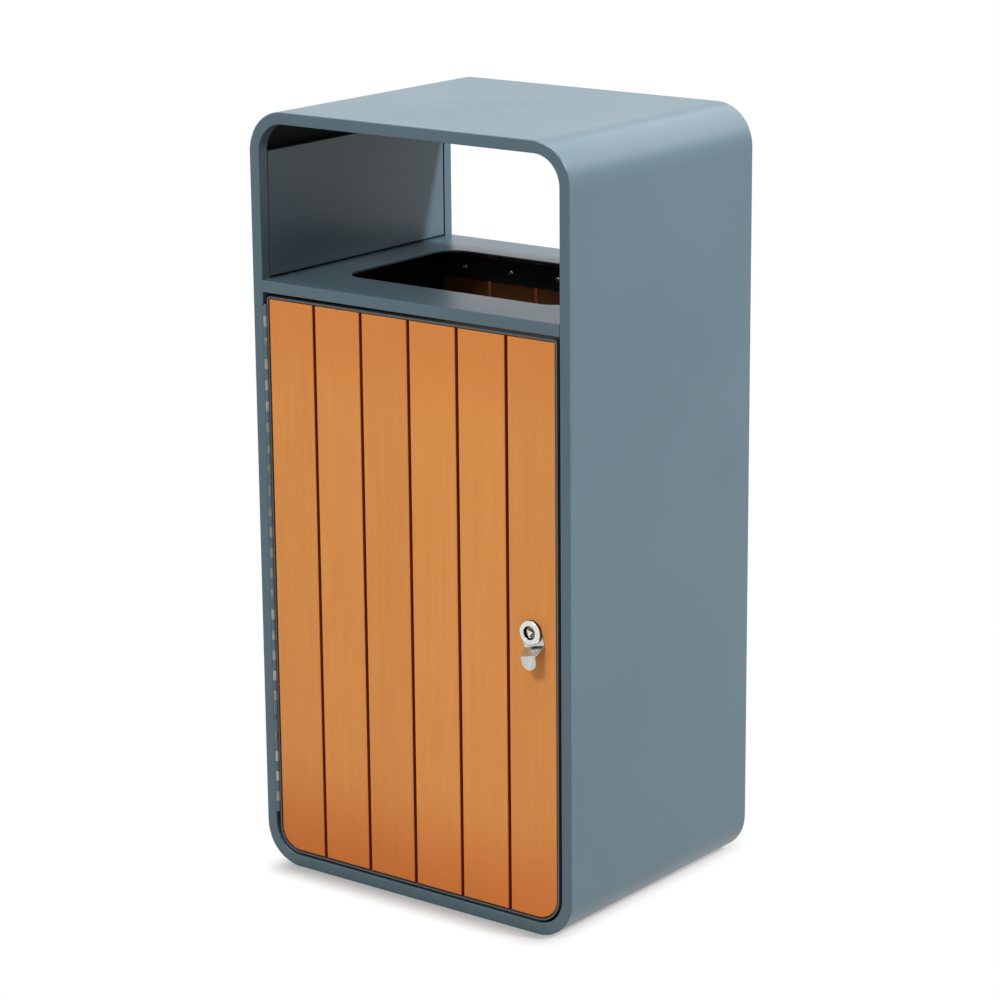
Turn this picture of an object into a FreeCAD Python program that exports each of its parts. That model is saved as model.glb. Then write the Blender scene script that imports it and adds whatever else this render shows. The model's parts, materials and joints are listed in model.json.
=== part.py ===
import FreeCAD, Part
import math
import os

import Sketcher

# A rectangular outdoor litter bin: a rounded sheet-steel shell that is open through the hood, a deck
# with a drop opening, a hinged front door and a fixed rear panel of upright slats, a cam lock
# with a pull tab, and a lift-out inner bucket with a bail.
# Millimetres. The origin is the middle of the shell's underside, +Z is up, the front is -Y.

Vector = FreeCAD.Vector

SLAT_COUNT = 6
HEX_SIDES = 6
KEY_SIDES = 3
KEY_TURN = 15
PULL_TURN = 13
TOUCH = 1e-4

SIZES = {
    # welded shell: flat sheets and rolled corners, with a rim and a return lip at both ends
    "shell_width": 450,
    "shell_depth": 350,
    "shell_height": 900,
    "corner_radius": 48,
    "shell_sheet": 2,
    "rim_width": 14,
    "lip_depth": 14,
    "edge_round": 1.5,
    # deck with the drop opening, on a ledger along each side wall, with a fascia at each end
    "deck_height": 705,
    "deck_sheet": 2,
    "fascia_height": 14,
    "opening_width": 312,
    "opening_depth": 200,
    "opening_radius": 28,
    "ledger_height": 18,
    "ledger_sheet": 2,
    # lining panels on the hood's side walls
    "hood_sheet": 1.5,
    "hood_round": 1,
    "panel_gap": 2,
    # floor pan and the holes for ground anchors
    "floor_height": 14,
    "floor_sheet": 2,
    "anchor_side_room": 27,
    "anchor_end_room": 75,
    "anchor_hole": 13,
    "access_hole": 36,
    # slat panels: a flat-bar band round the slats, with rails across their backs
    "door_gap": 4,
    "door_floor_gap": 3,
    "door_recess": 1,
    "rear_gap": 0.4,
    "band_sheet": 2,
    "band_bend": 4,
    "slat_fit": 1.2,
    "slat_gap": 4,
    "slat_thickness": 18,
    "slat_round": 1.5,
    "rail_height": 28,
    "rail_sheet": 2.5,
    "lower_rail_height": 64,
    # slat screws
    "screw_shank": 4,
    "screw_head": 8,
    "screw_head_height": 2.2,
    "screw_bite": 12,
    "screw_tip_room": 0.5,
    "screw_clearance": 0.1,
    # piano hinge
    "hinge_knuckle": 5,
    "hinge_pin_diameter": 2.5,
    "hinge_pin_overhang": 1,
    "hinge_running": 0.05,
    "hinge_clearance": 0.3,
    "hinge_leaf_sheet": 1,
    "hinge_leaf_width": 9,
    "hinge_pitch": 25,
    "hinge_base": 64,
    # cam lock
    "lock_height": 355,
    "lock_head": 28,
    "lock_head_height": 4.5,
    "lock_head_round": 1.8,
    "lock_barrel": 18,
    "lock_fit": 0.2,
    "lock_nut_flats": 24,
    "lock_nut_height": 5,
    "key_recess": 16,
    "key_recess_depth": 4.2,
    "key_stud": 9.5,
    "key_stud_drop": 0.5,
    "core_diameter": 10,
    "core_collar": 13,
    "core_collar_height": 1,
    "core_running": 0.05,
    "cam_square": 7,
    "cam_length": 42,
    "cam_width": 16,
    "cam_sheet": 2.5,
    "cam_round": 5,
    "cam_gap": 1,
    "cam_screw_diameter": 5,
    "cam_screw_length": 8,
    "cam_screw_head": 10,
    "cam_screw_head_height": 3,
    # pull tab under the lock head
    "pull_sheet": 1.5,
    "pull_bend": 1,
    "pull_width": 28,
    "pull_tip_width": 19.5,
    "pull_tip_round": 9,
    "pull_top_round": 13.5,
    "pull_reach": 14.5,
    "pull_ledge": 16,
    "pull_fall": 8.5,
    "pull_drop": 39.5,
    # keeper that the cam hooks behind, and the bumper that the door closes on
    "keeper_sheet": 2,
    "keeper_bend": 1,
    "keeper_height": 40,
    "keeper_reach": 24,
    "keeper_leg": 28,
    "keeper_set_back": 4.5,
    "bumper_diameter": 8,
    "bumper_inset": 5,
    "bumper_gap": 0.3,
    # inner bucket with a rolled bead round its mouth, and the room that it leaves in the cabinet
    "bucket_side_room": 56,
    "bucket_front_room": 32.5,
    "bucket_rear_room": 14.5,
    "bucket_head_room": 123,
    "bucket_radius": 30,
    "bucket_sheet": 1,
    "bucket_bead": 7,
    # ears on the bucket's sides, and the bail that swings on their studs
    "ear_width": 40,
    "ear_height": 24,
    "ear_sheet": 2,
    "ear_round": 6,
    "ear_drop": 25,
    "ear_rivet_spacing": 26,
    "rivet_shank": 4,
    "rivet_head": 8,
    "rivet_head_height": 1.5,
    "rivet_fit": 0.05,
    "stud_diameter": 7,
    "stud_running": 0.08,
    "stud_shoulder": 10,
    "stud_shoulder_height": 2.2,
    "stud_head": 11,
    "stud_head_height": 2,
    "bail_wire": 6,
    "bail_bend": 10,
    "bail_leg": 110,
    "bail_eye": 15,
    "bail_eye_width": 5,
    "bail_play": 0.3,
}

# Places worked out from the sizes, as expressions in the sheet's names.
HALF_WIDTH = "sizes.shell_width / 2"
HALF_DEPTH = "sizes.shell_depth / 2"
FRONT = "-sizes.shell_depth / 2"
RIM_BACK = f"({FRONT} + sizes.shell_sheet)"
FLAT_SIDE = "(sizes.shell_width / 2 - sizes.corner_radius)"
FLAT_HIGH = "(sizes.shell_height - sizes.corner_radius)"
INSIDE = "(sizes.shell_width / 2 - sizes.rim_width)"
SKIN = "(sizes.shell_width / 2 - sizes.shell_sheet)"
LIP_END = "(sizes.shell_depth / 2 - sizes.lip_depth)"
WIDE_END = f"({LIP_END} - sizes.panel_gap / 2)"
PANEL_END = f"({LIP_END} - sizes.panel_gap)"
RIM_RADIUS = "(sizes.corner_radius - sizes.rim_width)"
ANCHOR_SIDE = f"({FLAT_SIDE} - sizes.anchor_side_room)"
ANCHOR_END = "(sizes.shell_depth / 2 - sizes.anchor_end_room)"

DECK_UNDER = "(sizes.deck_height - sizes.deck_sheet)"
FASCIA_LOW = "(sizes.deck_height - sizes.fascia_height)"

HINGE_X = f"(-{INSIDE} + sizes.hinge_clearance + sizes.hinge_knuckle / 2)"
DOOR_LEFT = f"({HINGE_X} + sizes.hinge_knuckle / 2 + sizes.hinge_clearance)"
DOOR_RIGHT = f"({INSIDE} - sizes.door_gap)"
DOOR_LOW = "(sizes.rim_width + sizes.door_floor_gap)"
DOOR_HIGH = f"({FASCIA_LOW} - sizes.door_gap)"
DOOR_FRONT = f"({FRONT} + sizes.door_recess)"
DOOR_BACK = f"({DOOR_FRONT} + sizes.slat_thickness + sizes.rail_sheet)"
REAR_INNER = f"({HALF_DEPTH} - sizes.door_recess - sizes.slat_thickness - sizes.rail_sheet)"

HINGE_Y = DOOR_FRONT
HINGE_LEAF_START = f"({HINGE_Y} + sizes.hinge_knuckle / 2 + sizes.hinge_clearance)"
HINGE_TURNS = f"floor(({DOOR_HIGH} - sizes.hinge_base) / sizes.hinge_pitch + 1 / 2)"
HINGE_LENGTH = f"(({HINGE_TURNS} - 1) * sizes.hinge_pitch + sizes.hinge_pitch / 2)"

TAB_FRONT = f"({DOOR_FRONT} - sizes.pull_sheet)"
HEAD_FRONT = f"({TAB_FRONT} - sizes.lock_head_height)"
RECESS_FLOOR = f"({HEAD_FRONT} + sizes.key_recess_depth)"
NUT_BACK = f"({DOOR_BACK} + sizes.lock_nut_height)"
KEEPER_FRONT = f"({DOOR_BACK} + sizes.keeper_set_back)"
KEEPER_BACK = f"({KEEPER_FRONT} + sizes.keeper_sheet)"
CAM_FRONT = f"({KEEPER_BACK} + sizes.cam_gap)"
CAM_BACK = f"({CAM_FRONT} + sizes.cam_sheet)"

BUCKET_SIDE = f"({SKIN} - sizes.bucket_side_room)"
BUCKET_FRONT = f"({DOOR_BACK} + sizes.bucket_front_room)"
BUCKET_REAR = f"({REAR_INNER} - sizes.bucket_rear_room)"
BUCKET_MIDDLE = f"(({BUCKET_FRONT} + {BUCKET_REAR}) / 2)"
BUCKET_TOP = f"({DECK_UNDER} - sizes.bucket_head_room)"
BEAD_HEIGHT = f"({BUCKET_TOP} - sizes.bucket_bead / 2)"
PIVOT_HEIGHT = f"({BUCKET_TOP} - sizes.ear_drop)"
EAR_FACE = f"({BUCKET_SIDE} + sizes.ear_sheet)"
EYE_INSIDE = f"({EAR_FACE} + sizes.stud_shoulder_height + sizes.bail_play)"
EYE_OUTSIDE = f"({EYE_INSIDE} + sizes.bail_eye_width)"
BAIL_SIDE = f"({EYE_INSIDE} + sizes.bail_eye_width / 2)"
BAIL_REST_RISE = "(sizes.ear_drop + sizes.bail_wire / 2 + sizes.bail_play)"

# The two slat panels. The band spans start to start + slat_thickness + rail_sheet.
DOOR = {
    "name": "door",
    "left": DOOR_LEFT,
    "right": DOOR_RIGHT,
    "low": DOOR_LOW,
    "high": DOOR_HIGH,
    "corner": f"({RIM_RADIUS} - sizes.door_gap)",
    "start": DOOR_FRONT,
    "slat_start": DOOR_FRONT,
    "rail_start": f"({DOOR_FRONT} + sizes.slat_thickness)",
    "face": DOOR_FRONT,
    "hole_start": f"({DOOR_FRONT} + sizes.slat_thickness - sizes.screw_bite - sizes.screw_tip_room)",
    "screw_seat": DOOR_BACK,
}
REAR = {
    "name": "rear",
    "left": f"(-{INSIDE} + sizes.rear_gap)",
    "right": f"({INSIDE} - sizes.rear_gap)",
    "low": "(sizes.rim_width + sizes.rear_gap)",
    "high": f"({FASCIA_LOW} - sizes.rear_gap)",
    "corner": f"({RIM_RADIUS} - sizes.rear_gap)",
    "start": REAR_INNER,
    "slat_start": f"({REAR_INNER} + sizes.rail_sheet)",
    "rail_start": REAR_INNER,
    "face": f"({HALF_DEPTH} - sizes.door_recess)",
    "hole_start": f"({REAR_INNER} + sizes.rail_sheet)",
    "screw_seat": REAR_INNER,
}

doc = FreeCAD.newDocument("litter_bin")
sheet = doc.addObject("Spreadsheet::Sheet", "sizes")
for row, (alias, size) in enumerate(SIZES.items(), start=1):
    sheet.set(f"A{row}", alias.replace("_", " "))
    sheet.set(f"B{row}", str(size))
    sheet.setAlias(f"B{row}", alias)
doc.recompute()


def number(expression):
    """The value of an expression in the sheet's sizes."""
    return float(sheet.evalExpression(expression))


# Drawing in sketches.

def origin_feature(body, role):
    return next(f for f in body.Origin.OriginFeatures if f.Role == role)


def new_body(label):
    body = doc.addObject("PartDesign::Body", label)
    body.Label = label
    return body


def new_sketch(body, plane, place):
    """A sketch parallel to one of the body's planes, at a place along that plane's axis."""
    sketch = body.newObject("Sketcher::SketchObject", f"{body.Label}_sketch")
    sketch.AttachmentSupport = [(origin_feature(body, plane), "")]
    sketch.MapMode = "FlatFace"
    sign = "-" if plane == "XZ_Plane" else ""
    sketch.setExpression("AttachmentOffset.Base.z", f"{sign}({place})")
    return sketch


def dimension(sketch, expression, kind, *elements):
    """Adds one dimension, bound to an expression."""
    index = sketch.addConstraint(Sketcher.Constraint(kind, *elements, number(expression)))
    sketch.setExpression(f"Constraints[{index}]", expression)


def place_point(sketch, geometry, point, x, y):
    dimension(sketch, x, "DistanceX", -1, 1, geometry, point)
    dimension(sketch, y, "DistanceY", -1, 1, geometry, point)


def draw_circle(sketch, x, y, diameter):
    centre = Vector(number(x), number(y))
    circle = sketch.addGeometry(Part.Circle(centre, Vector(0, 0, 1), number(diameter) / 2))
    place_point(sketch, circle, 3, x, y)
    dimension(sketch, diameter, "Diameter", circle)


def draw_polygon(sketch, corners):
    """A closed polygon with each corner (x, y) placed from the sketch's origin."""
    points = [Vector(number(x), number(y)) for x, y in corners]
    lines = [
        sketch.addGeometry(Part.LineSegment(points[i], points[(i + 1) % len(points)]))
        for i in range(len(points))
    ]
    for i, (x, y) in enumerate(corners):
        sketch.addConstraint(Sketcher.Constraint("Coincident", lines[i - 1], 2, lines[i], 1))
        place_point(sketch, lines[i], 1, x, y)


def draw_path(sketch, corners, closed=True):
    """Level and upright lines from corner to corner.

    A corner is (x, y, radius); its radius is None where the corner is sharp.
    """
    points = [Vector(number(x), number(y)) for x, y, radius in corners]
    radii = [number(radius) if radius else 0 for x, y, radius in corners]
    count = len(corners)
    lines = []
    headings = []
    for i in range(count if closed else count - 1):
        j = (i + 1) % count
        heading = (points[j] - points[i]).normalize()
        start = points[i] + heading * radii[i]
        end = points[j] - heading * radii[j]
        line = sketch.addGeometry(Part.LineSegment(start, end))
        if abs(heading.x) > abs(heading.y):
            sketch.addConstraint(Sketcher.Constraint("Horizontal", line))
            dimension(sketch, corners[i][1], "DistanceY", -1, 1, line, 1)
        else:
            sketch.addConstraint(Sketcher.Constraint("Vertical", line))
            dimension(sketch, corners[i][0], "DistanceX", -1, 1, line, 1)
        lines.append(line)
        headings.append(heading)
    for i in range(0 if closed else 1, count if closed else count - 1):
        join_lines(sketch, lines[i - 1], lines[i], headings[i - 1], headings[i], points[i], corners[i][2])
    return lines


def join_lines(sketch, before, after, arriving, leaving, corner, radius):
    """Joins two lines of a path, with a tangent arc where there is a radius."""
    if not radius:
        sketch.addConstraint(Sketcher.Constraint("Coincident", before, 2, after, 1))
        return
    size = number(radius)
    centre = corner + (leaving - arriving) * size
    left_turn = arriving.x * leaving.y - arriving.y * leaving.x > 0
    from_centre = leaving * -1 if left_turn else arriving
    angle = math.atan2(from_centre.y, from_centre.x)
    circle = Part.Circle(centre, Vector(0, 0, 1), size)
    arc = sketch.addGeometry(Part.ArcOfCircle(circle, angle, angle + math.pi / 2))
    first, last = (1, 2) if left_turn else (2, 1)
    sketch.addConstraint(Sketcher.Constraint("Tangent", before, 2, arc, first))
    sketch.addConstraint(Sketcher.Constraint("Tangent", arc, last, after, 1))
    dimension(sketch, radius, "Radius", arc)


def draw_rectangle(sketch, left, right, low, high, radii=(None, None, None, None)):
    """A rectangle with radii at its low left, low right, high right and high left corners."""
    places = ((left, low), (right, low), (right, high), (left, high))
    draw_path(sketch, [(x, y, radius) for (x, y), radius in zip(places, radii)])


# Features on bodies. A pad or pocket always runs towards the plus end of its plane's axis.

def add_feature(body, kind, sketch, length, backwards):
    feature = body.newObject(f"PartDesign::{kind}", f"{body.Label}_{kind.lower()}")
    feature.Profile = sketch
    feature.setExpression("Length", length)
    feature.Reversed = backwards
    body.Tip = feature
    doc.recompute()
    return feature


def pad(body, sketch, length):
    facing_minus = sketch.AttachmentSupport[0][0].Role == "XZ_Plane"
    return add_feature(body, "Pad", sketch, length, facing_minus)


def pocket(body, sketch, length):
    before = body.Shape.Volume
    facing_minus = sketch.AttachmentSupport[0][0].Role == "XZ_Plane"
    feature = add_feature(body, "Pocket", sketch, length, not facing_minus)
    if body.Shape.Volume > before - TOUCH:
        raise RuntimeError(f"{feature.Name} cuts nothing")
    return feature


def mirror(body, originals, plane):
    feature = body.newObject("PartDesign::Mirrored", f"{body.Label}_mirrored")
    feature.Originals = originals
    feature.MirrorPlane = (origin_feature(body, plane), [""])
    body.Tip = feature
    doc.recompute()
    return feature


def repeat_up(body, originals, count, length):
    """A row of copies up the Z axis."""
    feature = body.newObject("PartDesign::LinearPattern", f"{body.Label}_row")
    feature.Originals = originals
    feature.Direction = (origin_feature(body, "Z_Axis"), [""])
    feature.setExpression("Occurrences", count)
    feature.setExpression("Length", length)
    body.Tip = feature
    doc.recompute()
    return feature


def sweep(body, profile, spine):
    feature = body.newObject("PartDesign::AdditivePipe", f"{body.Label}_pipe")
    feature.Profile = profile
    feature.Spine = (spine, [])
    body.Tip = feature
    doc.recompute()
    return feature


def fillet(body, radius, chosen):
    """Rounds the edges of the body's last feature that a test chooses."""
    base = body.Tip
    edges = [f"Edge{i}" for i, edge in enumerate(base.Shape.Edges, start=1) if chosen(edge)]
    feature = body.newObject("PartDesign::Fillet", f"{body.Label}_fillet")
    feature.Base = (base, edges)
    feature.setExpression("Radius", radius)
    body.Tip = feature
    doc.recompute()
    return feature


def lies_at(edge, axis, *places):
    """Whether every end of an edge lies at one of some places along an axis."""
    ends = [getattr(vertex.Point, axis) for vertex in edge.Vertexes]
    return any(all(abs(end - number(place)) < TOUCH for end in ends) for place in places)


def runs_along(edge, axis):
    """Whether an edge is a straight one that runs along an axis."""
    ends = [vertex.Point for vertex in edge.Vertexes]
    if len(ends) < 2:
        return False
    return abs(abs(getattr(ends[1] - ends[0], axis)) - edge.Length) < TOUCH


# Pieces that are turned, and groups of copies.

HALF_TURN = FreeCAD.Placement(Vector(0, 0, 0), FreeCAD.Rotation(Vector(0, 0, 1), 180))


def make_turned(label, axis, profile, angle=360):
    """A piece turned about one of its body's axes from a half profile."""
    body = new_body(label)
    sketch = new_sketch(body, "XY_Plane", "0")
    draw_path(sketch, profile)
    turned = body.newObject("PartDesign::Revolution", f"{label}_turned")
    turned.Profile = sketch
    turned.ReferenceAxis = (origin_feature(body, axis), [""])
    turned.Angle = angle
    turned.Reversed = True
    body.Tip = turned
    doc.recompute()
    return body


def make_group(label, copies):
    """Placed copies of pieces as separate solids of one sub-part."""
    group = doc.addObject("Part::Feature", label)
    group.Label = label
    shapes = [piece.Shape.transformed(place.toMatrix()) for piece, place in copies]
    group.Shape = Part.makeCompound(shapes)
    return group


# The shell and what is fixed in it.

def draw_anchor_circles(sketch, diameter):
    for side_x in ("", "-"):
        for side_y in ("", "-"):
            draw_circle(sketch, f"{side_x}{ANCHOR_SIDE}", f"{side_y}{ANCHOR_END}", diameter)


def make_wall(label, left, right, low, high):
    """One flat sheet of the shell, from the front rim to the rear rim."""
    body = new_body(label)
    sheet_edge = new_sketch(body, "XZ_Plane", RIM_BACK)
    draw_rectangle(sheet_edge, left, right, low, high)
    pad(body, sheet_edge, "sizes.shell_depth - 2 * sizes.shell_sheet")
    return body


def make_shell_base():
    body = make_wall("shell_base", f"-{FLAT_SIDE}", FLAT_SIDE, "0", "sizes.shell_sheet")
    holes = new_sketch(body, "XY_Plane", "0")
    draw_anchor_circles(holes, "sizes.anchor_hole")
    pocket(body, holes, "sizes.shell_sheet")
    return body


def corner_placements():
    """Where the shell's four corners stand, from the top right round to the top left."""
    side = number(FLAT_SIDE)
    low = number("sizes.corner_radius")
    high = number(FLAT_HIGH)
    centres = ((side, high), (side, low), (-side, low), (-side, high))
    return [
        FreeCAD.Placement(Vector(x, 0, z), FreeCAD.Rotation(Vector(0, 1, 0), 90 * quarter))
        for quarter, (x, z) in enumerate(centres)
    ]


def make_shell_corners():
    inner = "sizes.corner_radius - sizes.shell_sheet"
    corner = make_turned("shell_corner", "Y_Axis", [
        (inner, RIM_BACK, None),
        ("sizes.corner_radius", RIM_BACK, None),
        ("sizes.corner_radius", f"-{RIM_BACK}", None),
        (inner, f"-{RIM_BACK}", None),
    ], angle=90)
    return make_group("shell_corners", [(corner, place) for place in corner_placements()])


def rim_section(outside):
    """The angle section of a front rim: its rounded face and the lip behind its inner edge.

    Each corner is (place across the rim, place along the depth, radius).
    """
    inside = f"({outside} - sizes.rim_width)"
    return [
        (outside, RIM_BACK, None),
        (outside, FRONT, "sizes.edge_round"),
        (inside, FRONT, "sizes.edge_round"),
        (inside, f"-{LIP_END}", None),
        (f"{inside} + sizes.shell_sheet", f"-{LIP_END}", None),
        (f"{inside} + sizes.shell_sheet", RIM_BACK, None),
    ]


def make_rims():
    """The front rim, and the rear rim that is the same one turned round."""
    post = new_body("rim_post")
    post_end = new_sketch(post, "XY_Plane", "sizes.corner_radius")
    draw_path(post_end, rim_section(HALF_WIDTH))
    pad(post, post_end, f"{FLAT_HIGH} - sizes.corner_radius")
    bar = new_body("rim_bar")
    bar_end = new_sketch(bar, "YZ_Plane", f"-{FLAT_SIDE}")
    draw_path(bar_end, [(y, z, radius) for z, y, radius in rim_section("sizes.shell_height")])
    pad(bar, bar_end, f"2 * {FLAT_SIDE}")
    corner = make_turned("rim_corner", "Y_Axis", rim_section("sizes.corner_radius"), angle=90)
    as_drawn = FreeCAD.Placement()
    upside_down = FreeCAD.Placement(
        Vector(0, 0, number("sizes.shell_height")), FreeCAD.Rotation(Vector(0, 1, 0), 180))
    front = [(piece, place) for piece in (post, bar) for place in (as_drawn, upside_down)]
    front += [(corner, place) for place in corner_placements()]
    rear = [(piece, HALF_TURN.multiply(place)) for piece, place in front]
    return [make_group("front_rim", front), make_group("rear_rim", rear)]


def make_deck_plate():
    body = new_body("deck_plate")
    top = new_sketch(body, "XY_Plane", DECK_UNDER)
    front = f"({FRONT} + sizes.deck_sheet)"
    draw_path(top, [
        (f"-{INSIDE}", front, None),
        (INSIDE, front, None),
        (INSIDE, f"-{WIDE_END}", None),
        (SKIN, f"-{WIDE_END}", None),
        (SKIN, WIDE_END, None),
        (INSIDE, WIDE_END, None),
        (INSIDE, f"-{front}", None),
        (f"-{INSIDE}", f"-{front}", None),
        (f"-{INSIDE}", WIDE_END, None),
        (f"-{SKIN}", WIDE_END, None),
        (f"-{SKIN}", f"-{WIDE_END}", None),
        (f"-{INSIDE}", f"-{WIDE_END}", None),
    ])
    draw_rectangle(
        top, "-sizes.opening_width / 2", "sizes.opening_width / 2",
        "-sizes.opening_depth / 2", "sizes.opening_depth / 2", ("sizes.opening_radius",) * 4)
    pad(body, top, "sizes.deck_sheet")
    return body


def make_deck_fascias():
    """The angle that closes the deck at the front, and the same one turned round at the rear."""
    fascia = new_body("deck_fascia_front")
    end = new_sketch(fascia, "YZ_Plane", f"-{INSIDE}")
    draw_path(end, [
        (FRONT, FASCIA_LOW, "sizes.edge_round"),
        (f"-{LIP_END}", FASCIA_LOW, None),
        (f"-{LIP_END}", f"{FASCIA_LOW} + sizes.deck_sheet", None),
        (f"{FRONT} + sizes.deck_sheet", f"{FASCIA_LOW} + sizes.deck_sheet", None),
        (f"{FRONT} + sizes.deck_sheet", "sizes.deck_height", None),
        (FRONT, "sizes.deck_height", "sizes.edge_round"),
    ])
    pad(fascia, end, f"2 * {INSIDE}")
    return [fascia, make_group("deck_fascia_rear", [(fascia, HALF_TURN)])]


def make_deck_ledger(label, left):
    body = new_body(label)
    bar = new_sketch(body, "XY_Plane", f"{DECK_UNDER} - sizes.ledger_height")
    draw_rectangle(bar, left, f"{left} + sizes.ledger_sheet", f"-{WIDE_END}", WIDE_END)
    pad(body, bar, "sizes.ledger_height")
    return body


def make_hood_panel(label, outside):
    """One lining panel: a shallow tray with its folds towards the shell's side wall."""
    right = outside == "right"
    low = "sizes.deck_height + sizes.panel_gap"
    body = new_body(label)
    tray = new_sketch(body, "YZ_Plane", INSIDE if right else f"-{SKIN}")
    draw_rectangle(tray, f"-{PANEL_END}", PANEL_END, low, FLAT_HIGH)
    pad(body, tray, f"{SKIN} - {INSIDE}")
    hollow = new_sketch(body, "YZ_Plane", f"{INSIDE} + sizes.hood_sheet" if right else f"-{SKIN}")
    draw_rectangle(
        hollow, f"-{PANEL_END} + sizes.hood_sheet", f"{PANEL_END} - sizes.hood_sheet",
        f"{low} + sizes.hood_sheet", f"{FLAT_HIGH} - sizes.hood_sheet")
    pocket(body, hollow, f"{SKIN} - {INSIDE} - sizes.hood_sheet")
    face = INSIDE if right else f"-{INSIDE}"
    fillet(body, "sizes.hood_round", lambda edge: lies_at(edge, "x", face))
    return body


def make_floor_pan():
    body = new_body("floor_pan")
    pan = new_sketch(body, "XY_Plane", "sizes.shell_sheet")
    draw_rectangle(pan, f"-{FLAT_SIDE}", FLAT_SIDE, f"-{PANEL_END}", PANEL_END)
    pad(body, pan, "sizes.floor_height - sizes.shell_sheet")
    hollow = new_sketch(body, "XY_Plane", "sizes.shell_sheet")
    draw_rectangle(
        hollow, f"-{FLAT_SIDE} + sizes.floor_sheet", f"{FLAT_SIDE} - sizes.floor_sheet",
        f"-{PANEL_END} + sizes.floor_sheet", f"{PANEL_END} - sizes.floor_sheet")
    pocket(body, hollow, "sizes.floor_height - sizes.shell_sheet - sizes.floor_sheet")
    holes = new_sketch(body, "XY_Plane", "sizes.floor_height - sizes.floor_sheet")
    draw_anchor_circles(holes, "sizes.access_hole")
    pocket(body, holes, "sizes.floor_sheet")
    return body


# The slat panels.

def draw_band_loop(sketch, panel, inset):
    """A panel's outline drawn in by an inset: round at the foot, with small bends at the head."""
    foot = f"{panel['corner']} - {inset}"
    head = f"sizes.band_bend - {inset}"
    draw_rectangle(
        sketch, f"{panel['left']} + {inset}", f"{panel['right']} - {inset}",
        f"{panel['low']} + {inset}", f"{panel['high']} - {inset}", (foot, foot, head, head))


def rail_heights(panel):
    """The heights of the middles of a panel's rails, by name."""
    return {
        "top": f"({panel['high']} - sizes.band_bend - sizes.rail_height / 2)",
        "middle": "sizes.lock_height",
        "bottom": "sizes.lower_rail_height",
    }


def slat_width(panel):
    clear = f"{panel['right']} - {panel['left']} - 2 * sizes.band_sheet - 2 * sizes.slat_fit"
    return f"(({clear} - {SLAT_COUNT - 1} * sizes.slat_gap) / {SLAT_COUNT})"


def slat_left(panel, index):
    edge = f"{panel['left']} + sizes.band_sheet + sizes.slat_fit"
    return f"({edge} + {index} * ({slat_width(panel)} + sizes.slat_gap))"


def slat_middle(panel, index):
    return f"({slat_left(panel, index)} + {slat_width(panel)} / 2)"


LOCK_X = slat_middle(DOOR, SLAT_COUNT - 1)
LOCK_Z = "sizes.lock_height"


def is_lock_place(panel, rail, index):
    """Where the lock barrel takes the place of a slat screw."""
    return panel is DOOR and rail == "middle" and index == SLAT_COUNT - 1


def make_band(panel):
    body = new_body(f"{panel['name']}_frame")
    band = new_sketch(body, "XZ_Plane", panel["start"])
    draw_band_loop(band, panel, "0")
    draw_band_loop(band, panel, "sizes.band_sheet")
    pad(body, band, "sizes.slat_thickness + sizes.rail_sheet")
    return body


def make_rail(panel, rail):
    body = new_body(f"{panel['name']}_rail_{rail}")
    middle = rail_heights(panel)[rail]
    bar = new_sketch(body, "XZ_Plane", panel["rail_start"])
    draw_rectangle(
        bar, f"{panel['left']} + sizes.band_sheet", f"{panel['right']} - sizes.band_sheet",
        f"{middle} - sizes.rail_height / 2", f"{middle} + sizes.rail_height / 2")
    pad(body, bar, "sizes.rail_sheet")
    holes = new_sketch(body, "XZ_Plane", panel["rail_start"])
    for index in range(SLAT_COUNT):
        if is_lock_place(panel, rail, index):
            draw_circle(holes, LOCK_X, LOCK_Z, "sizes.lock_barrel + 2 * sizes.lock_fit")
        else:
            hole = "sizes.screw_shank + 2 * sizes.screw_clearance"
            draw_circle(holes, slat_middle(panel, index), middle, hole)
    pocket(body, holes, "sizes.rail_sheet")
    return body


def make_slat(panel, index):
    body = new_body(f"{panel['name']}_slat_{index + 1}")
    left = slat_left(panel, index)
    right = f"{left} + {slat_width(panel)}"
    foot = f"{panel['corner']} - sizes.band_sheet - sizes.slat_fit"
    board = new_sketch(body, "XZ_Plane", panel["slat_start"])
    draw_rectangle(
        board, left, right,
        f"{panel['low']} + sizes.band_sheet + sizes.slat_fit",
        f"{panel['high']} - sizes.band_sheet - sizes.slat_fit",
        (foot if index == 0 else None, foot if index == SLAT_COUNT - 1 else None, None, None))
    pad(body, board, "sizes.slat_thickness")
    fillet(body, "sizes.slat_round", lambda edge: lies_at(edge, "y", panel["face"]))
    holes = new_sketch(body, "XZ_Plane", panel["hole_start"])
    for rail, height in rail_heights(panel).items():
        if not is_lock_place(panel, rail, index):
            hole = "sizes.screw_shank + 2 * sizes.screw_clearance"
            draw_circle(holes, slat_middle(panel, index), height, hole)
    pocket(body, holes, "sizes.screw_bite + sizes.screw_tip_room")
    if is_lock_place(panel, "middle", index):
        barrel_hole = new_sketch(body, "XZ_Plane", panel["slat_start"])
        draw_circle(barrel_hole, LOCK_X, LOCK_Z, "sizes.lock_barrel + 2 * sizes.lock_fit")
        pocket(body, barrel_hole, "sizes.slat_thickness")
    return body


def make_slat_screw():
    """One screw, its head's seat at the origin and its shank along -Y."""
    shank = "sizes.screw_shank / 2"
    head = "sizes.screw_head / 2"
    length = "(sizes.screw_bite + sizes.rail_sheet)"
    return make_turned("slat_screw", "Y_Axis", [
        ("0", f"-{length}", None),
        (shank, f"-{length}", None),
        (shank, "0", None),
        (head, "0", None),
        (head, "sizes.screw_head_height", None),
        ("0", "sizes.screw_head_height", None),
    ])


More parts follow.
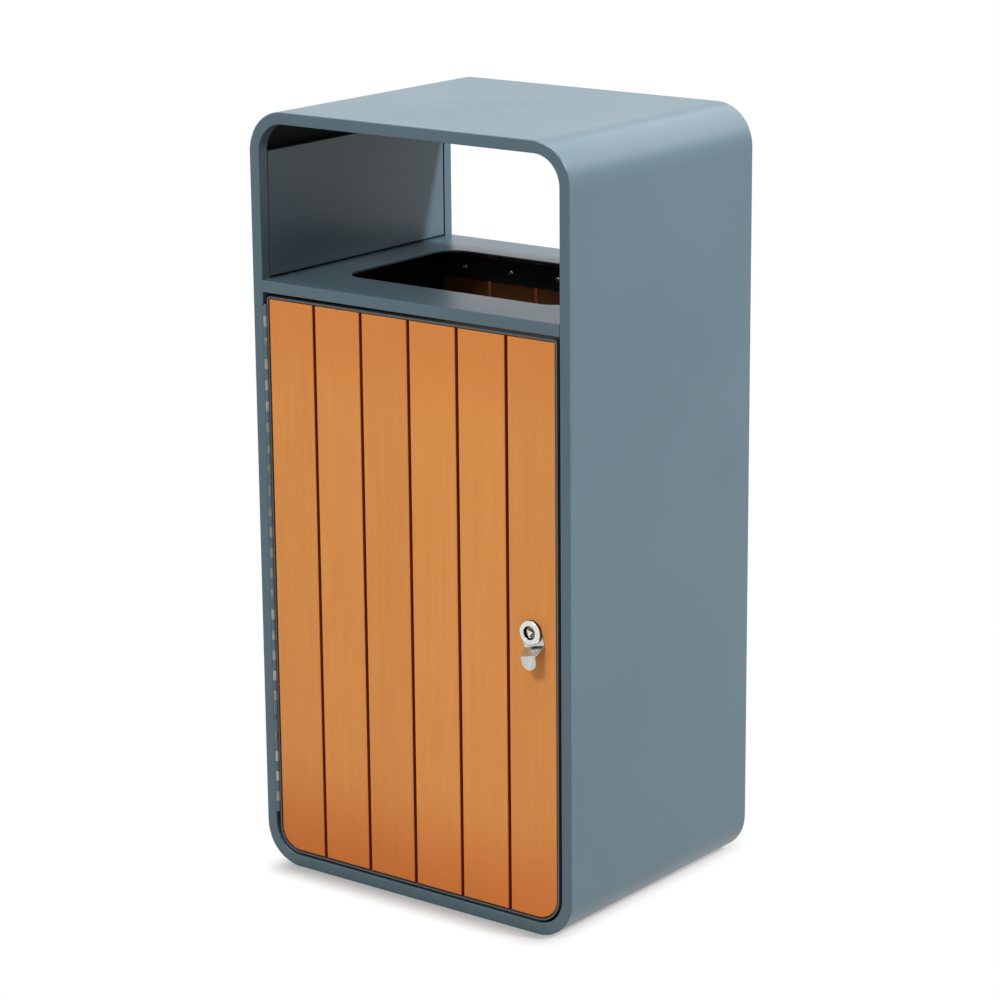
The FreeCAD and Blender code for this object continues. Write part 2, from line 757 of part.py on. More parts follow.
def make_slat_screws(panel, screw):
    facing = FreeCAD.Rotation(Vector(0, 0, 1), 0 if panel is DOOR else 180)
    seat = number(panel["screw_seat"])
    copies = [
        (screw, FreeCAD.Placement(Vector(number(slat_middle(panel, index)), seat, number(height)), facing))
        for rail, height in rail_heights(panel).items()
        for index in range(SLAT_COUNT)
        if not is_lock_place(panel, rail, index)
    ]
    return make_group(f"{panel['name']}_slat_screws", copies)


# The piano hinge.

def make_hinge_leaf(label, left, first_knuckle, knuckles):
    """A leaf whose knuckles stand half a pitch apart from the other leaf's."""
    body = new_body(label)
    right = f"{left} + sizes.hinge_leaf_sheet"
    plate = new_sketch(body, "XY_Plane", "sizes.hinge_base")
    draw_rectangle(
        plate, left, right, HINGE_LEAF_START, f"{HINGE_LEAF_START} + sizes.hinge_leaf_width")
    pad(body, plate, HINGE_LENGTH)
    knuckle_length = "sizes.hinge_pitch / 2 - sizes.hinge_clearance"
    web = new_sketch(body, "XY_Plane", first_knuckle)
    draw_rectangle(web, left, right, HINGE_Y, f"{HINGE_LEAF_START} + sizes.hinge_leaf_width / 2")
    web_pad = pad(body, web, knuckle_length)
    roll = new_sketch(body, "XY_Plane", first_knuckle)
    draw_circle(roll, HINGE_X, HINGE_Y, "sizes.hinge_knuckle")
    roll_pad = pad(body, roll, knuckle_length)
    repeat_up(body, [web_pad, roll_pad], knuckles, f"({knuckles} - 1) * sizes.hinge_pitch")
    bore = new_sketch(body, "XY_Plane", "sizes.hinge_base")
    draw_circle(bore, HINGE_X, HINGE_Y, "sizes.hinge_pin_diameter + 2 * sizes.hinge_running")
    pocket(body, bore, HINGE_LENGTH)
    return body


def make_hinge_pin():
    pin = doc.addObject("Part::Cylinder", "hinge_pin")
    pin.Label = "hinge_pin"
    pin.setExpression("Radius", "sizes.hinge_pin_diameter / 2")
    pin.setExpression("Height", f"{HINGE_LENGTH} + 2 * sizes.hinge_pin_overhang")
    pin.setExpression("Placement.Base.x", HINGE_X)
    pin.setExpression("Placement.Base.y", HINGE_Y)
    pin.setExpression("Placement.Base.z", "sizes.hinge_base - sizes.hinge_pin_overhang")
    return pin


# The lock, its pull tab and its keeper.

def make_lock_housing():
    body = new_body("lock_housing")
    head = new_sketch(body, "XZ_Plane", HEAD_FRONT)
    draw_circle(head, LOCK_X, LOCK_Z, "sizes.lock_head")
    pad(body, head, "sizes.lock_head_height")
    fillet(body, "sizes.lock_head_round", lambda edge: lies_at(edge, "y", HEAD_FRONT))
    barrel = new_sketch(body, "XZ_Plane", TAB_FRONT)
    draw_circle(barrel, LOCK_X, LOCK_Z, "sizes.lock_barrel")
    pad(body, barrel, f"{NUT_BACK} - {TAB_FRONT}")
    recess = new_sketch(body, "XZ_Plane", HEAD_FRONT)
    draw_circle(recess, LOCK_X, LOCK_Z, "sizes.key_recess")
    pocket(body, recess, "sizes.key_recess_depth")
    bore = new_sketch(body, "XZ_Plane", RECESS_FLOOR)
    draw_circle(bore, LOCK_X, LOCK_Z, "sizes.core_diameter + 2 * sizes.core_running")
    pocket(body, bore, f"{NUT_BACK} - {RECESS_FLOOR}")
    return body


def regular_corners(sides, radius, turn):
    """Corners of a regular polygon round the lock's axis."""
    angles = [f"({turn + k * 360 / sides} deg)" for k in range(sides)]
    return [(f"{LOCK_X} + {radius} * cos{a}", f"{LOCK_Z} + {radius} * sin{a}") for a in angles]


def make_lock_nut():
    body = new_body("lock_nut")
    hexagon = new_sketch(body, "XZ_Plane", DOOR_BACK)
    draw_polygon(hexagon, regular_corners(HEX_SIDES, "sizes.lock_nut_flats / 2 / cos(30 deg)", 0))
    draw_circle(hexagon, LOCK_X, LOCK_Z, "sizes.lock_barrel + 2 * sizes.screw_clearance")
    pad(body, hexagon, "sizes.lock_nut_height")
    return body


def make_lock_core():
    body = new_body("lock_core")
    collar_back = f"({RECESS_FLOOR} - sizes.core_running)"
    shaft = new_sketch(body, "XZ_Plane", collar_back)
    draw_circle(shaft, LOCK_X, LOCK_Z, "sizes.core_diameter")
    pad(body, shaft, f"{CAM_FRONT} - {collar_back}")
    collar = new_sketch(body, "XZ_Plane", f"{collar_back} - sizes.core_collar_height")
    draw_circle(collar, LOCK_X, LOCK_Z, "sizes.core_collar")
    pad(body, collar, "sizes.core_collar_height")
    stud = new_sketch(body, "XZ_Plane", f"{HEAD_FRONT} + sizes.key_stud_drop")
    draw_polygon(stud, regular_corners(KEY_SIDES, "sizes.key_stud / 2", KEY_TURN))
    pad(body, stud, "sizes.key_recess_depth - sizes.key_stud_drop - sizes.core_running")
    square = new_sketch(body, "XZ_Plane", CAM_FRONT)
    draw_cam_square(square, "sizes.cam_square / 2")
    pad(body, square, "sizes.cam_sheet")
    thread = new_sketch(body, "XZ_Plane", f"{CAM_BACK} - sizes.cam_screw_length - sizes.screw_tip_room")
    draw_circle(thread, LOCK_X, LOCK_Z, "sizes.cam_screw_diameter + 2 * sizes.core_running")
    pocket(body, thread, "sizes.cam_screw_length + sizes.screw_tip_room")
    return body


def draw_cam_square(sketch, half):
    draw_rectangle(
        sketch, f"{LOCK_X} - ({half})", f"{LOCK_X} + ({half})",
        f"{LOCK_Z} - ({half})", f"{LOCK_Z} + ({half})")


def make_lock_cam():
    """The cam in its unlocked place, pointing down."""
    body = new_body("lock_cam")
    half = "sizes.cam_width / 2"
    arm = new_sketch(body, "XZ_Plane", CAM_FRONT)
    draw_rectangle(
        arm, f"{LOCK_X} - {half}", f"{LOCK_X} + {half}",
        f"{LOCK_Z} - sizes.cam_length", f"{LOCK_Z} + {half}", ("sizes.cam_round",) * 4)
    draw_cam_square(arm, "sizes.cam_square / 2 + sizes.core_running")
    pad(body, arm, "sizes.cam_sheet")
    return body


def make_cam_screw():
    body = new_body("cam_screw")
    shank = new_sketch(body, "XZ_Plane", f"{CAM_BACK} - sizes.cam_screw_length")
    draw_circle(shank, LOCK_X, LOCK_Z, "sizes.cam_screw_diameter")
    pad(body, shank, "sizes.cam_screw_length")
    head = new_sketch(body, "XZ_Plane", CAM_BACK)
    draw_circle(head, LOCK_X, LOCK_Z, "sizes.cam_screw_head")
    pad(body, head, "sizes.cam_screw_head_height")
    return body


def make_pull_tab():
    """A plate clamped under the lock head, bent out and down into a finger tongue.

    It hangs a little askew, turned about the lock's axis as the nut left it.
    """
    body = new_body("pull_tab")
    tongue_back = f"({DOOR_FRONT} - sizes.pull_reach)"
    tongue_front = f"({tongue_back} - sizes.pull_sheet)"
    top = f"({LOCK_Z} + sizes.pull_width / 2)"
    tip = f"({LOCK_Z} - sizes.pull_drop)"
    slope_length = "sqrt(sizes.pull_reach ^ 2 + sizes.pull_fall ^ 2)"
    under = f"(sizes.pull_sheet * ({slope_length} - sizes.pull_fall) / sizes.pull_reach)"
    ledge_root = f"({LOCK_Z} - sizes.pull_ledge)"
    ledge_end = f"({ledge_root} - sizes.pull_fall)"
    root_under = f"({ledge_root} - {under})"
    end_under = f"({ledge_end} - {under})"
    side = new_sketch(body, "YZ_Plane", f"{LOCK_X} - sizes.pull_width / 2")
    draw_polygon(side, [
        (DOOR_FRONT, top),
        (TAB_FRONT, top),
        (TAB_FRONT, ledge_root),
        (tongue_front, ledge_end),
        (tongue_front, tip),
        (tongue_back, tip),
        (tongue_back, end_under),
        (DOOR_FRONT, root_under),
    ])
    pad(body, side, "sizes.pull_width")
    fillet(
        body, "sizes.pull_bend",
        lambda edge: lies_at(edge, "z", ledge_root, end_under) and runs_along(edge, "x"))
    fillet(
        body, "sizes.pull_bend + sizes.pull_sheet",
        lambda edge: lies_at(edge, "z", ledge_end, root_under) and runs_along(edge, "x"))
    taper = new_sketch(body, "XY_Plane", tip)
    for sign in ("+", "-"):
        wide = f"{LOCK_X} {sign} sizes.pull_width / 2"
        narrow = f"{LOCK_X} {sign} sizes.pull_tip_width / 2"
        draw_polygon(taper, [
            (wide, TAB_FRONT),
            (narrow, tongue_back),
            (narrow, f"{tongue_front} - sizes.pull_sheet"),
            (f"{wide} {sign} sizes.pull_sheet", f"{tongue_front} - sizes.pull_sheet"),
            (f"{wide} {sign} sizes.pull_sheet", TAB_FRONT),
        ])
    pocket(body, taper, "sizes.pull_drop - sizes.pull_ledge")
    fillet(body, "sizes.pull_tip_round", lambda edge: lies_at(edge, "z", tip) and runs_along(edge, "y"))
    fillet(body, "sizes.pull_top_round", lambda edge: lies_at(edge, "z", top) and runs_along(edge, "y"))
    hole = new_sketch(body, "XZ_Plane", TAB_FRONT)
    draw_circle(hole, LOCK_X, LOCK_Z, "sizes.lock_barrel + 2 * sizes.lock_fit")
    pocket(body, hole, "sizes.pull_sheet")
    lock_axis = Vector(number(LOCK_X), 0, number(LOCK_Z))
    body.Placement = FreeCAD.Placement(Vector(), FreeCAD.Rotation(Vector(0, -1, 0), PULL_TURN), lock_axis)
    return body


def make_latch_keeper():
    """An angle on the shell's right wall; the cam turns behind its inward leg."""
    body = new_body("latch_keeper")
    angle = new_sketch(body, "XY_Plane", f"{LOCK_Z} - sizes.keeper_height / 2")
    leg_end = f"{KEEPER_FRONT} + sizes.keeper_leg"
    draw_path(angle, [
        (f"{SKIN} - sizes.keeper_reach", KEEPER_FRONT, None),
        (SKIN, KEEPER_FRONT, "sizes.keeper_bend + sizes.keeper_sheet"),
        (SKIN, leg_end, None),
        (f"{SKIN} - sizes.keeper_sheet", leg_end, None),
        (f"{SKIN} - sizes.keeper_sheet", KEEPER_BACK, "sizes.keeper_bend"),
        (f"{SKIN} - sizes.keeper_reach", KEEPER_BACK, None),
    ])
    pad(body, angle, "sizes.keeper_height")
    return body


def make_door_bumper():
    body = new_body("door_bumper")
    disc = new_sketch(body, "XZ_Plane", f"{DOOR_BACK} + sizes.bumper_gap")
    x = f"{SKIN} - sizes.keeper_reach + sizes.bumper_inset"
    draw_circle(disc, x, LOCK_Z, "sizes.bumper_diameter")
    pad(body, disc, "sizes.keeper_set_back - sizes.bumper_gap")
    return body


# The bucket and its bail.

def draw_bucket_loop(sketch, inset):
    side = f"({BUCKET_SIDE} - {inset})"
    radius = f"sizes.bucket_radius - {inset}"
    front = f"{BUCKET_FRONT} + {inset}"
    rear = f"{BUCKET_REAR} - {inset}"
    draw_rectangle(sketch, f"-{side}", side, front, rear, (radius,) * 4)


def rivet_places():
    """Where along the depth each ear is riveted."""
    return [f"{BUCKET_MIDDLE} {sign} sizes.ear_rivet_spacing / 2" for sign in ("+", "-")]


def make_bucket():
    body = new_body("bucket")
    outside = new_sketch(body, "XY_Plane", "sizes.floor_height")
    draw_bucket_loop(outside, "0")
    pad(body, outside, f"{BEAD_HEIGHT} - sizes.floor_height")
    inside = new_sketch(body, "XY_Plane", "sizes.floor_height + sizes.bucket_sheet")
    draw_bucket_loop(inside, "sizes.bucket_sheet")
    pocket(body, inside, f"{BEAD_HEIGHT} - sizes.floor_height - sizes.bucket_sheet")
    bead_path = new_sketch(body, "XY_Plane", BEAD_HEIGHT)
    draw_bucket_loop(bead_path, "sizes.bucket_sheet / 2")
    bead = new_sketch(body, "XZ_Plane", BUCKET_MIDDLE)
    draw_circle(bead, f"{BUCKET_SIDE} - sizes.bucket_sheet / 2", BEAD_HEIGHT, "sizes.bucket_bead")
    sweep(body, bead, bead_path)
    holes = new_sketch(body, "YZ_Plane", f"-{BUCKET_SIDE}")
    for y in rivet_places():
        draw_circle(holes, y, PIVOT_HEIGHT, "sizes.rivet_shank + 2 * sizes.rivet_fit")
    pocket(body, holes, f"2 * {BUCKET_SIDE}")
    return body


def make_bucket_pivots():
    """Both ears: a riveted plate with a shouldered stud that carries the bail's eye."""
    body = new_body("bucket_pivots")
    plate = new_sketch(body, "YZ_Plane", BUCKET_SIDE)
    draw_rectangle(
        plate, f"{BUCKET_MIDDLE} - sizes.ear_width / 2", f"{BUCKET_MIDDLE} + sizes.ear_width / 2",
        f"{PIVOT_HEIGHT} - sizes.ear_height / 2", f"{PIVOT_HEIGHT} + sizes.ear_height / 2",
        ("sizes.ear_round",) * 4)
    for y in rivet_places():
        draw_circle(plate, y, PIVOT_HEIGHT, "sizes.rivet_shank + 2 * sizes.rivet_fit")
    plate_pad = pad(body, plate, "sizes.ear_sheet")
    steps = (
        ("sizes.stud_shoulder", EAR_FACE, f"{EYE_INSIDE} - sizes.bail_play"),
        ("sizes.stud_diameter", EAR_FACE, f"{EYE_OUTSIDE} + sizes.bail_play"),
        ("sizes.stud_head", f"{EYE_OUTSIDE} + sizes.bail_play",
         f"{EYE_OUTSIDE} + sizes.bail_play + sizes.stud_head_height"),
    )
    stud_pads = []
    for diameter, start, end in steps:
        step = new_sketch(body, "YZ_Plane", start)
        draw_circle(step, BUCKET_MIDDLE, PIVOT_HEIGHT, diameter)
        stud_pads.append(pad(body, step, f"{end} - ({start})"))
    mirror(body, [plate_pad, *stud_pads], "YZ_Plane")
    return body


def make_ear_rivet():
    """One rivet along +X: its inner head's seat is at the origin."""
    shank = "sizes.rivet_shank / 2"
    head = "sizes.rivet_head / 2"
    grip = "(sizes.bucket_sheet + sizes.ear_sheet)"
    return make_turned("ear_rivet", "X_Axis", [
        ("-sizes.rivet_head_height", "0", None),
        (f"{grip} + sizes.rivet_head_height", "0", None),
        (f"{grip} + sizes.rivet_head_height", head, None),
        (grip, head, None),
        (grip, shank, None),
        ("0", shank, None),
        ("0", head, None),
        ("-sizes.rivet_head_height", head, None),
    ])


def make_pivot_rivets(rivet):
    inner_wall = number(f"{BUCKET_SIDE} - sizes.bucket_sheet")
    height = number(PIVOT_HEIGHT)
    copies = []
    for side, turn in ((1, 0), (-1, 180)):
        facing = FreeCAD.Rotation(Vector(0, 0, 1), turn)
        for y in rivet_places():
            copies.append((rivet, FreeCAD.Placement(Vector(side * inner_wall, number(y), height), facing)))
    return make_group("pivot_rivets", copies)


def make_bucket_bail():
    """The wire bail, drawn upright about its pivots and laid back over the bucket's mouth."""
    body = new_body("bucket_bail")
    start = "(sizes.bail_eye + sizes.stud_diameter) / 4"
    path = new_sketch(body, "XZ_Plane", "0")
    lines = draw_path(path, [
        (f"-{BAIL_SIDE}", start, None),
        (f"-{BAIL_SIDE}", "sizes.bail_leg", "sizes.bail_bend"),
        (BAIL_SIDE, "sizes.bail_leg", "sizes.bail_bend"),
        (BAIL_SIDE, start, None),
    ], closed=False)
    dimension(path, start, "DistanceY", -1, 1, lines[0], 1)
    dimension(path, start, "DistanceY", -1, 1, lines[-1], 2)
    wire = new_sketch(body, "XY_Plane", start)
    draw_circle(wire, f"-{BAIL_SIDE}", "0", "sizes.bail_wire")
    sweep(body, wire, path)
    for place in (EYE_INSIDE, f"-{EYE_OUTSIDE}"):
        eye = new_sketch(body, "YZ_Plane", place)
        draw_circle(eye, "0", "0", "sizes.bail_eye")
        pad(body, eye, "sizes.bail_eye_width")
    bore = new_sketch(body, "YZ_Plane", f"-{EYE_OUTSIDE}")
    draw_circle(bore, "0", "0", "sizes.stud_diameter + 2 * sizes.stud_running")
    pocket(body, bore, f"2 * {EYE_OUTSIDE}")
    laid_back = math.degrees(math.acos(number(BAIL_REST_RISE) / number("sizes.bail_leg")))
    body.Placement = FreeCAD.Placement(
        Vector(0, number(BUCKET_MIDDLE), number(PIVOT_HEIGHT)),
        FreeCAD.Rotation(Vector(-1, 0, 0), laid_back))
    return body


def make_panel(panel, screw):
    slats = [make_slat(panel, index) for index in range(SLAT_COUNT)]
    rails = [make_rail(panel, rail) for rail in rail_heights(panel)]
    return [make_band(panel), *rails, *slats, make_slat_screws(panel, screw)]


def make_sub_parts():
    slat_screw = make_slat_screw()
    fixed_leaf = f"-{INSIDE}"
    door_leaf = f"({DOOR_LEFT} - sizes.hinge_leaf_sheet)"
    return [
        make_wall(
            "shell_roof", f"-{FLAT_SIDE}", FLAT_SIDE,
            "sizes.shell_height - sizes.shell_sheet", "sizes.shell_height"),
        make_wall("shell_side_left", f"-{HALF_WIDTH}", f"-{SKIN}", "sizes.corner_radius", FLAT_HIGH),
        make_wall("shell_side_right", SKIN, HALF_WIDTH, "sizes.corner_radius", FLAT_HIGH),
        make_shell_base(),
        make_shell_corners(),
        *make_rims(),
        make_deck_plate(),
        *make_deck_fascias(),
        make_deck_ledger("deck_ledger_left", f"-{SKIN}"),
        make_deck_ledger("deck_ledger_right", f"{SKIN} - sizes.ledger_sheet"),
        make_hood_panel("hood_panel_left", "left"),
        make_hood_panel("hood_panel_right", "right"),
        make_floor_pan(),
        *make_panel(REAR, slat_screw),
        *make_panel(DOOR, slat_screw),
        make_hinge_leaf("hinge_leaf_fixed", fixed_leaf, "sizes.hinge_base", HINGE_TURNS),
        make_hinge_leaf(
            "hinge_leaf_door", door_leaf, "sizes.hinge_base + sizes.hinge_pitch / 2",
            f"({HINGE_TURNS} - 1)"),
        make_hinge_pin(),
        make_lock_housing(),
        make_lock_nut(),
        make_lock_core(),
        make_lock_cam(),
        make_cam_screw(),
        make_pull_tab(),
        make_latch_keeper(),
        make_door_bumper(),
        make_bucket(),
        make_bucket_pivots(),
        make_pivot_rivets(make_ear_rivet()),
        make_bucket_bail(),
    ]


sub_parts = make_sub_parts()
doc.recompute()
for item in doc.Objects:
    if {"Invalid", "Error"} & set(item.State):
        raise RuntimeError(f"{item.Label} did not build: {item.State}")
for item in sub_parts:
    if item.Shape.isNull() or not item.Shape.isValid():
        raise RuntimeError(f"{item.Label} has no valid shape")

os.makedirs("parts", exist_ok=True)
for item in sub_parts:
    item.Shape.exportStep(f"parts/{item.Label}.step")
    print(f"{item.Label}: {len(item.Shape.Solids)} solids, {item.Shape.Volume / 1000:.1f} cm3")
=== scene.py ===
# %% [markdown]
# # A rectangular litter bin, dressed for the camera
#
# The bin is a rounded steel shell that is open right through at the top, with a drop opening in its deck,
# a locked door of upright boards and an inner bucket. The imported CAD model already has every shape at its
# real size, so this lesson is about finishes: powder coat, wood-plastic boards, bright hinge and lock
# metal, galvanised sheet, and the fasteners, which the CAD model keeps as plain cylinders.
#
# The lesson starts with the frame and the camera. The finishes and the fasteners come next, and at last the
# floor and the light.

# %% Load the frame
import json
import math

import bmesh
import bpy
from mathutils import Matrix, Vector


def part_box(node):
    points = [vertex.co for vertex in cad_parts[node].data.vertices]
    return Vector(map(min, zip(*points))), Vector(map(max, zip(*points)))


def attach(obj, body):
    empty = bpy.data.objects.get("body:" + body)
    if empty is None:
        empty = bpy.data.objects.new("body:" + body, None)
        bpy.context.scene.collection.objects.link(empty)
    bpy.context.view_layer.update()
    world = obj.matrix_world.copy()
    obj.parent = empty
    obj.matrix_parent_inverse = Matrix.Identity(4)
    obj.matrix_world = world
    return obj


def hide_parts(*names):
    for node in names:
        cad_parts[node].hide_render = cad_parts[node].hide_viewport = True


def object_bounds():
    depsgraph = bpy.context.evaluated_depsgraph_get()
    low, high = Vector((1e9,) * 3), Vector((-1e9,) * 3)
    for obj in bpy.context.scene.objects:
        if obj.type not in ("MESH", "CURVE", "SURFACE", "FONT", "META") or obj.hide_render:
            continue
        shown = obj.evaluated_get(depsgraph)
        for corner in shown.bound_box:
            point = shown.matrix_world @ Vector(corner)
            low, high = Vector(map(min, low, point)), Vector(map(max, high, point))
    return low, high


MM = 0.001

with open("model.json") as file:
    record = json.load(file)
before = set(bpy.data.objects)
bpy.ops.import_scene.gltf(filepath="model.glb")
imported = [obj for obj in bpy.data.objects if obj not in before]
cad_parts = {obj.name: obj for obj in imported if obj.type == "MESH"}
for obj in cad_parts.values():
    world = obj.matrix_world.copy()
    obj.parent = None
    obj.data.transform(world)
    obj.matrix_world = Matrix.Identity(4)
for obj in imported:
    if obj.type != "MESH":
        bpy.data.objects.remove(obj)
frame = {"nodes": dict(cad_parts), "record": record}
nodes = frame["nodes"]
cad_low, cad_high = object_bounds()
print("CAD box in mm", [round(v / MM) for v in (*cad_low, *cad_high)])

# %% [markdown]
# ## The camera
#
# The bin was photographed with a long lens from the front and the right, a little above its roof. The edges
# of a box of the same size were fitted to the picture, and that gives the place, the direction and the
# focal length in pixels. A picture 1000 pixels wide on a 36 mm sensor turns pixels into millimetres. The
# horizon leans by half a degree, so the camera is rolled by as much. A shift of the lens would fit the upper
# left a few pixels better, but it would push the bin aside in all other views, so there is none.

# %% Place the camera
PICTURE_PIXELS = 1000
SENSOR_MM = 36
FOCAL_PIXELS = 3349.5
CAMERA_PLACE = Vector((2.2963, -2.9825, 1.4508))
CAMERA_LOOK = Vector((-0.59017, 0.76452, -0.25925))
CAMERA_ROLL = math.radians(-0.503)


def in_scene(name, data):
    """A new object that carries some data, linked to the scene."""
    made = bpy.data.objects.new(name, data)
    bpy.context.scene.collection.objects.link(made)
    return made


camera_data = bpy.data.cameras.new("street_view")
camera_data.sensor_width = SENSOR_MM
camera_data.lens = SENSOR_MM * FOCAL_PIXELS / PICTURE_PIXELS
camera = in_scene("street_view", camera_data)
turned = CAMERA_LOOK.to_track_quat("-Z", "Y").to_matrix() @ Matrix.Rotation(CAMERA_ROLL, 3, "Z")
camera.matrix_world = Matrix.Translation(CAMERA_PLACE) @ turned.to_4x4()
bpy.context.scene.camera = camera
print("lens", round(camera_data.lens, 1), "mm")

# %% [markdown]
# ## Building finishes from nodes
#
# Every finish is a small tree of shader nodes that reads Object coordinates. In this model those are metres
# in the bin's own frame, so a pattern's scale is one over a real size, and a pattern runs on from one
# welded sheet to the next. Three helpers are enough: one turns a colour as a designer writes it, in sRGB
# hex, into the linear numbers that a renderer needs, one adds a node with its settings and links, and one
# starts a finish with an empty tree.
#
# Most patterns are noise. Noise keeps near its middle value, so a span of it is stretched from 0 to 1: the
# narrow span gives clear patches, the wide one soft ones.

# %% Helpers for finishes
NARROW_SPAN = {"From Min": 0.35, "From Max": 0.65}
WIDE_SPAN = {"From Min": 0.3, "From Max": 0.7}


def linear(hex_colour):
    """An sRGB hex colour as linear red, green, blue and alpha."""
    parts = [int(hex_colour[i:i + 2], 16) / 255 for i in (1, 3, 5)]
    return (*[p / 12.92 if p <= 0.04045 else ((p + 0.055) / 1.055) ** 2.4 for p in parts], 1)


def add(tree, kind, links=None, **settings):
    """One node of a tree. A link is an input's name or number, with a value or another node's output."""
    made = tree.nodes.new(kind)
    for name, value in settings.items():
        setattr(made, name, value)
    for name, value in (links or {}).items():
        if isinstance(value, bpy.types.NodeSocket):
            tree.links.new(value, made.inputs[name])
        else:
            made.inputs[name].default_value = value
    return made


def new_finish(name):
    """A material with an empty tree, the surface socket of its output and its Object coordinates."""
    material = bpy.data.materials.new(name)
    material.use_nodes = True
    tree = material.node_tree
    tree.nodes.clear()
    output = add(tree, "ShaderNodeOutputMaterial")
    where = add(tree, "ShaderNodeTexCoord").outputs["Object"]
    return material, tree, output.inputs["Surface"], where


print("sRGB #808080 is", round(linear("#808080")[0], 3), "in linear light")

# %% [markdown]
# ## Powder coat
#
# The shell is sheet steel with a satin powder coat: a powdered polyester that is baked until it flows. It
# never flows quite flat, and that leaves a faint orange peel, here about 2.5 mm from crest to crest, which
# softens reflections. The colour is nearly even, with slow clouds where the coat is thicker. A plastic-like
# coat reflects about 4 percent straight on and much more at a shallow angle, which makes the roof so pale.
#
# The shell's inside and the inner faces of the frames and rails get a dark, matt primer colour, which is
# painted shade: it stands for the shade in the hollow and inside the cabinet. A face is an inside one when
# its normal points to the middle of the bin: the dot product of the normal and the way out from the middle
# is then negative. The shell is measured from the line that runs from front to back through its middle, and
# the frames from the upright plane between the door and the back.

# %% Which faces point inside
ROUND_THE_HOLLOW = (1, 0, 1)
FRONT_AND_BACK = (0, 1, 0)
INSIDE_MARGIN = 50 * MM
middle_height = (cad_low.z + cad_high.z) / 2


def faces_inside(tree, where, axes):
    """An output that is 1 on faces that point to the bin's middle, measured along some axes only."""
    from_middle = add(tree, "ShaderNodeMapping", {
        "Vector": where, "Location": (0, 0, -middle_height * axes[2]), "Scale": axes})
    facing = add(tree, "ShaderNodeTexCoord").outputs["Normal"]
    outward = add(tree, "ShaderNodeVectorMath", {
        0: from_middle.outputs["Vector"], 1: facing}, operation="DOT_PRODUCT")
    inside = add(tree, "ShaderNodeMath", {
        0: outward.outputs["Value"], 1: -INSIDE_MARGIN}, operation="LESS_THAN")
    return inside.outputs["Value"]


print("the middle of the bin is", round(middle_height / MM), "mm up")

# %% The powder coats
PEEL = 2.5 * MM
PEEL_HEIGHT = 0.15 * MM
PEEL_STRENGTH = 0.03
CLOUD = 260 * MM
SATIN_SPREAD = 0.03
MATT = 1.0
BLUE_GREY = ("#4c626d", "#495e69")
# The iron grey is a little darker than the frame's paint: partly painted shade for the frame's edges under
# the deck.
IRON_GREY = ("#505355", "#484b4d")
# The dark primer is painted shade: it stands for the shade inside the hollow and the cabinet.
SHADE_PRIMER = ("#141617", "#1a1c1f")


def powder_coat(name, tones, satin, shade_primer_axes=None):
    """Baked polyester on steel: two close tones in slow clouds, a faint orange peel, and a dark primer
    inside as painted shade.
    """
    material, tree, surface, where = new_finish(name)
    cloud = add(tree, "ShaderNodeTexNoise", {
        "Vector": where, "Scale": 1 / CLOUD, "Detail": 4.0}).outputs["Fac"]
    share = add(tree, "ShaderNodeMapRange", {"Value": cloud, **NARROW_SPAN}).outputs["Result"]
    thin, thick = [linear(tone) for tone in tones]
    colour = add(tree, "ShaderNodeMix", {
        "Factor": share, "A": thin, "B": thick}, data_type="RGBA").outputs["Result"]
    gloss = add(tree, "ShaderNodeMapRange", {
        "Value": cloud, **WIDE_SPAN,
        "To Min": satin - SATIN_SPREAD, "To Max": satin + SATIN_SPREAD}).outputs["Result"]
    # Faces that point inside get the dark primer colour, which is painted shade, and a matt finish.
    if shade_primer_axes:
        inside = faces_inside(tree, where, shade_primer_axes)
        dark, less_dark = [linear(tone) for tone in SHADE_PRIMER]
        shade_primed = add(tree, "ShaderNodeMix", {
            "Factor": share, "A": dark, "B": less_dark}, data_type="RGBA").outputs["Result"]
        colour = add(tree, "ShaderNodeMix", {
            "Factor": inside, "A": colour, "B": shade_primed}, data_type="RGBA").outputs["Result"]
        gloss = add(tree, "ShaderNodeMapRange", {
            "Value": inside, "To Min": gloss, "To Max": MATT}).outputs["Result"]
    peel = add(tree, "ShaderNodeTexNoise", {"Vector": where, "Scale": 1 / PEEL, "Detail": 1.5})
    bump = add(tree, "ShaderNodeBump", {
        "Height": peel.outputs["Fac"], "Strength": PEEL_STRENGTH, "Distance": PEEL_HEIGHT})
    coat = add(tree, "ShaderNodeBsdfPrincipled", {
        "Base Color": colour, "Roughness": gloss, "Normal": bump.outputs["Normal"], "IOR": 1.5})
    tree.links.new(coat.outputs["BSDF"], surface)
    return material


shell_coat = powder_coat("powder_coat_blue_grey", BLUE_GREY, satin=0.33)
# Round the hollow and on the frames, the coat has painted shade on its inward faces.
hollow_coat = powder_coat("powder_coat_over_shade_primer", BLUE_GREY, satin=0.33, shade_primer_axes=ROUND_THE_HOLLOW)
frame_coat = powder_coat("powder_coat_iron_grey", IRON_GREY, satin=0.45, shade_primer_axes=FRONT_AND_BACK)
print("powder coats", shell_coat.name, hollow_coat.name, frame_coat.name)

# %% [markdown]
# ## Wood-plastic boards
#
# The slats are extruded from wood flour and plastic and then brushed, so they have no knots or rings: only
# fine streaks along the board, a faint mottle of flour, and small shifts of tone from board to board. The
# streaks are stretched noise, 7 mm wide and 160 mm long. A board's number follows from its place across the
# panel, and white noise turns that number into its tone.

# %% Grain and tone
STREAK_WIDTH = 7 * MM
STREAK_LENGTH = 160 * MM
STREAK_TONES = ("#cf7f38", "#e4984e")
MOTTLE = 18 * MM
FLOUR_SPAN = {"From Min": 0.35, "From Max": 0.7}
FLOUR_SHARE = 0.6
FLOUR_TONE = "#dc8e40"
BOARD_SPREAD = 0.04


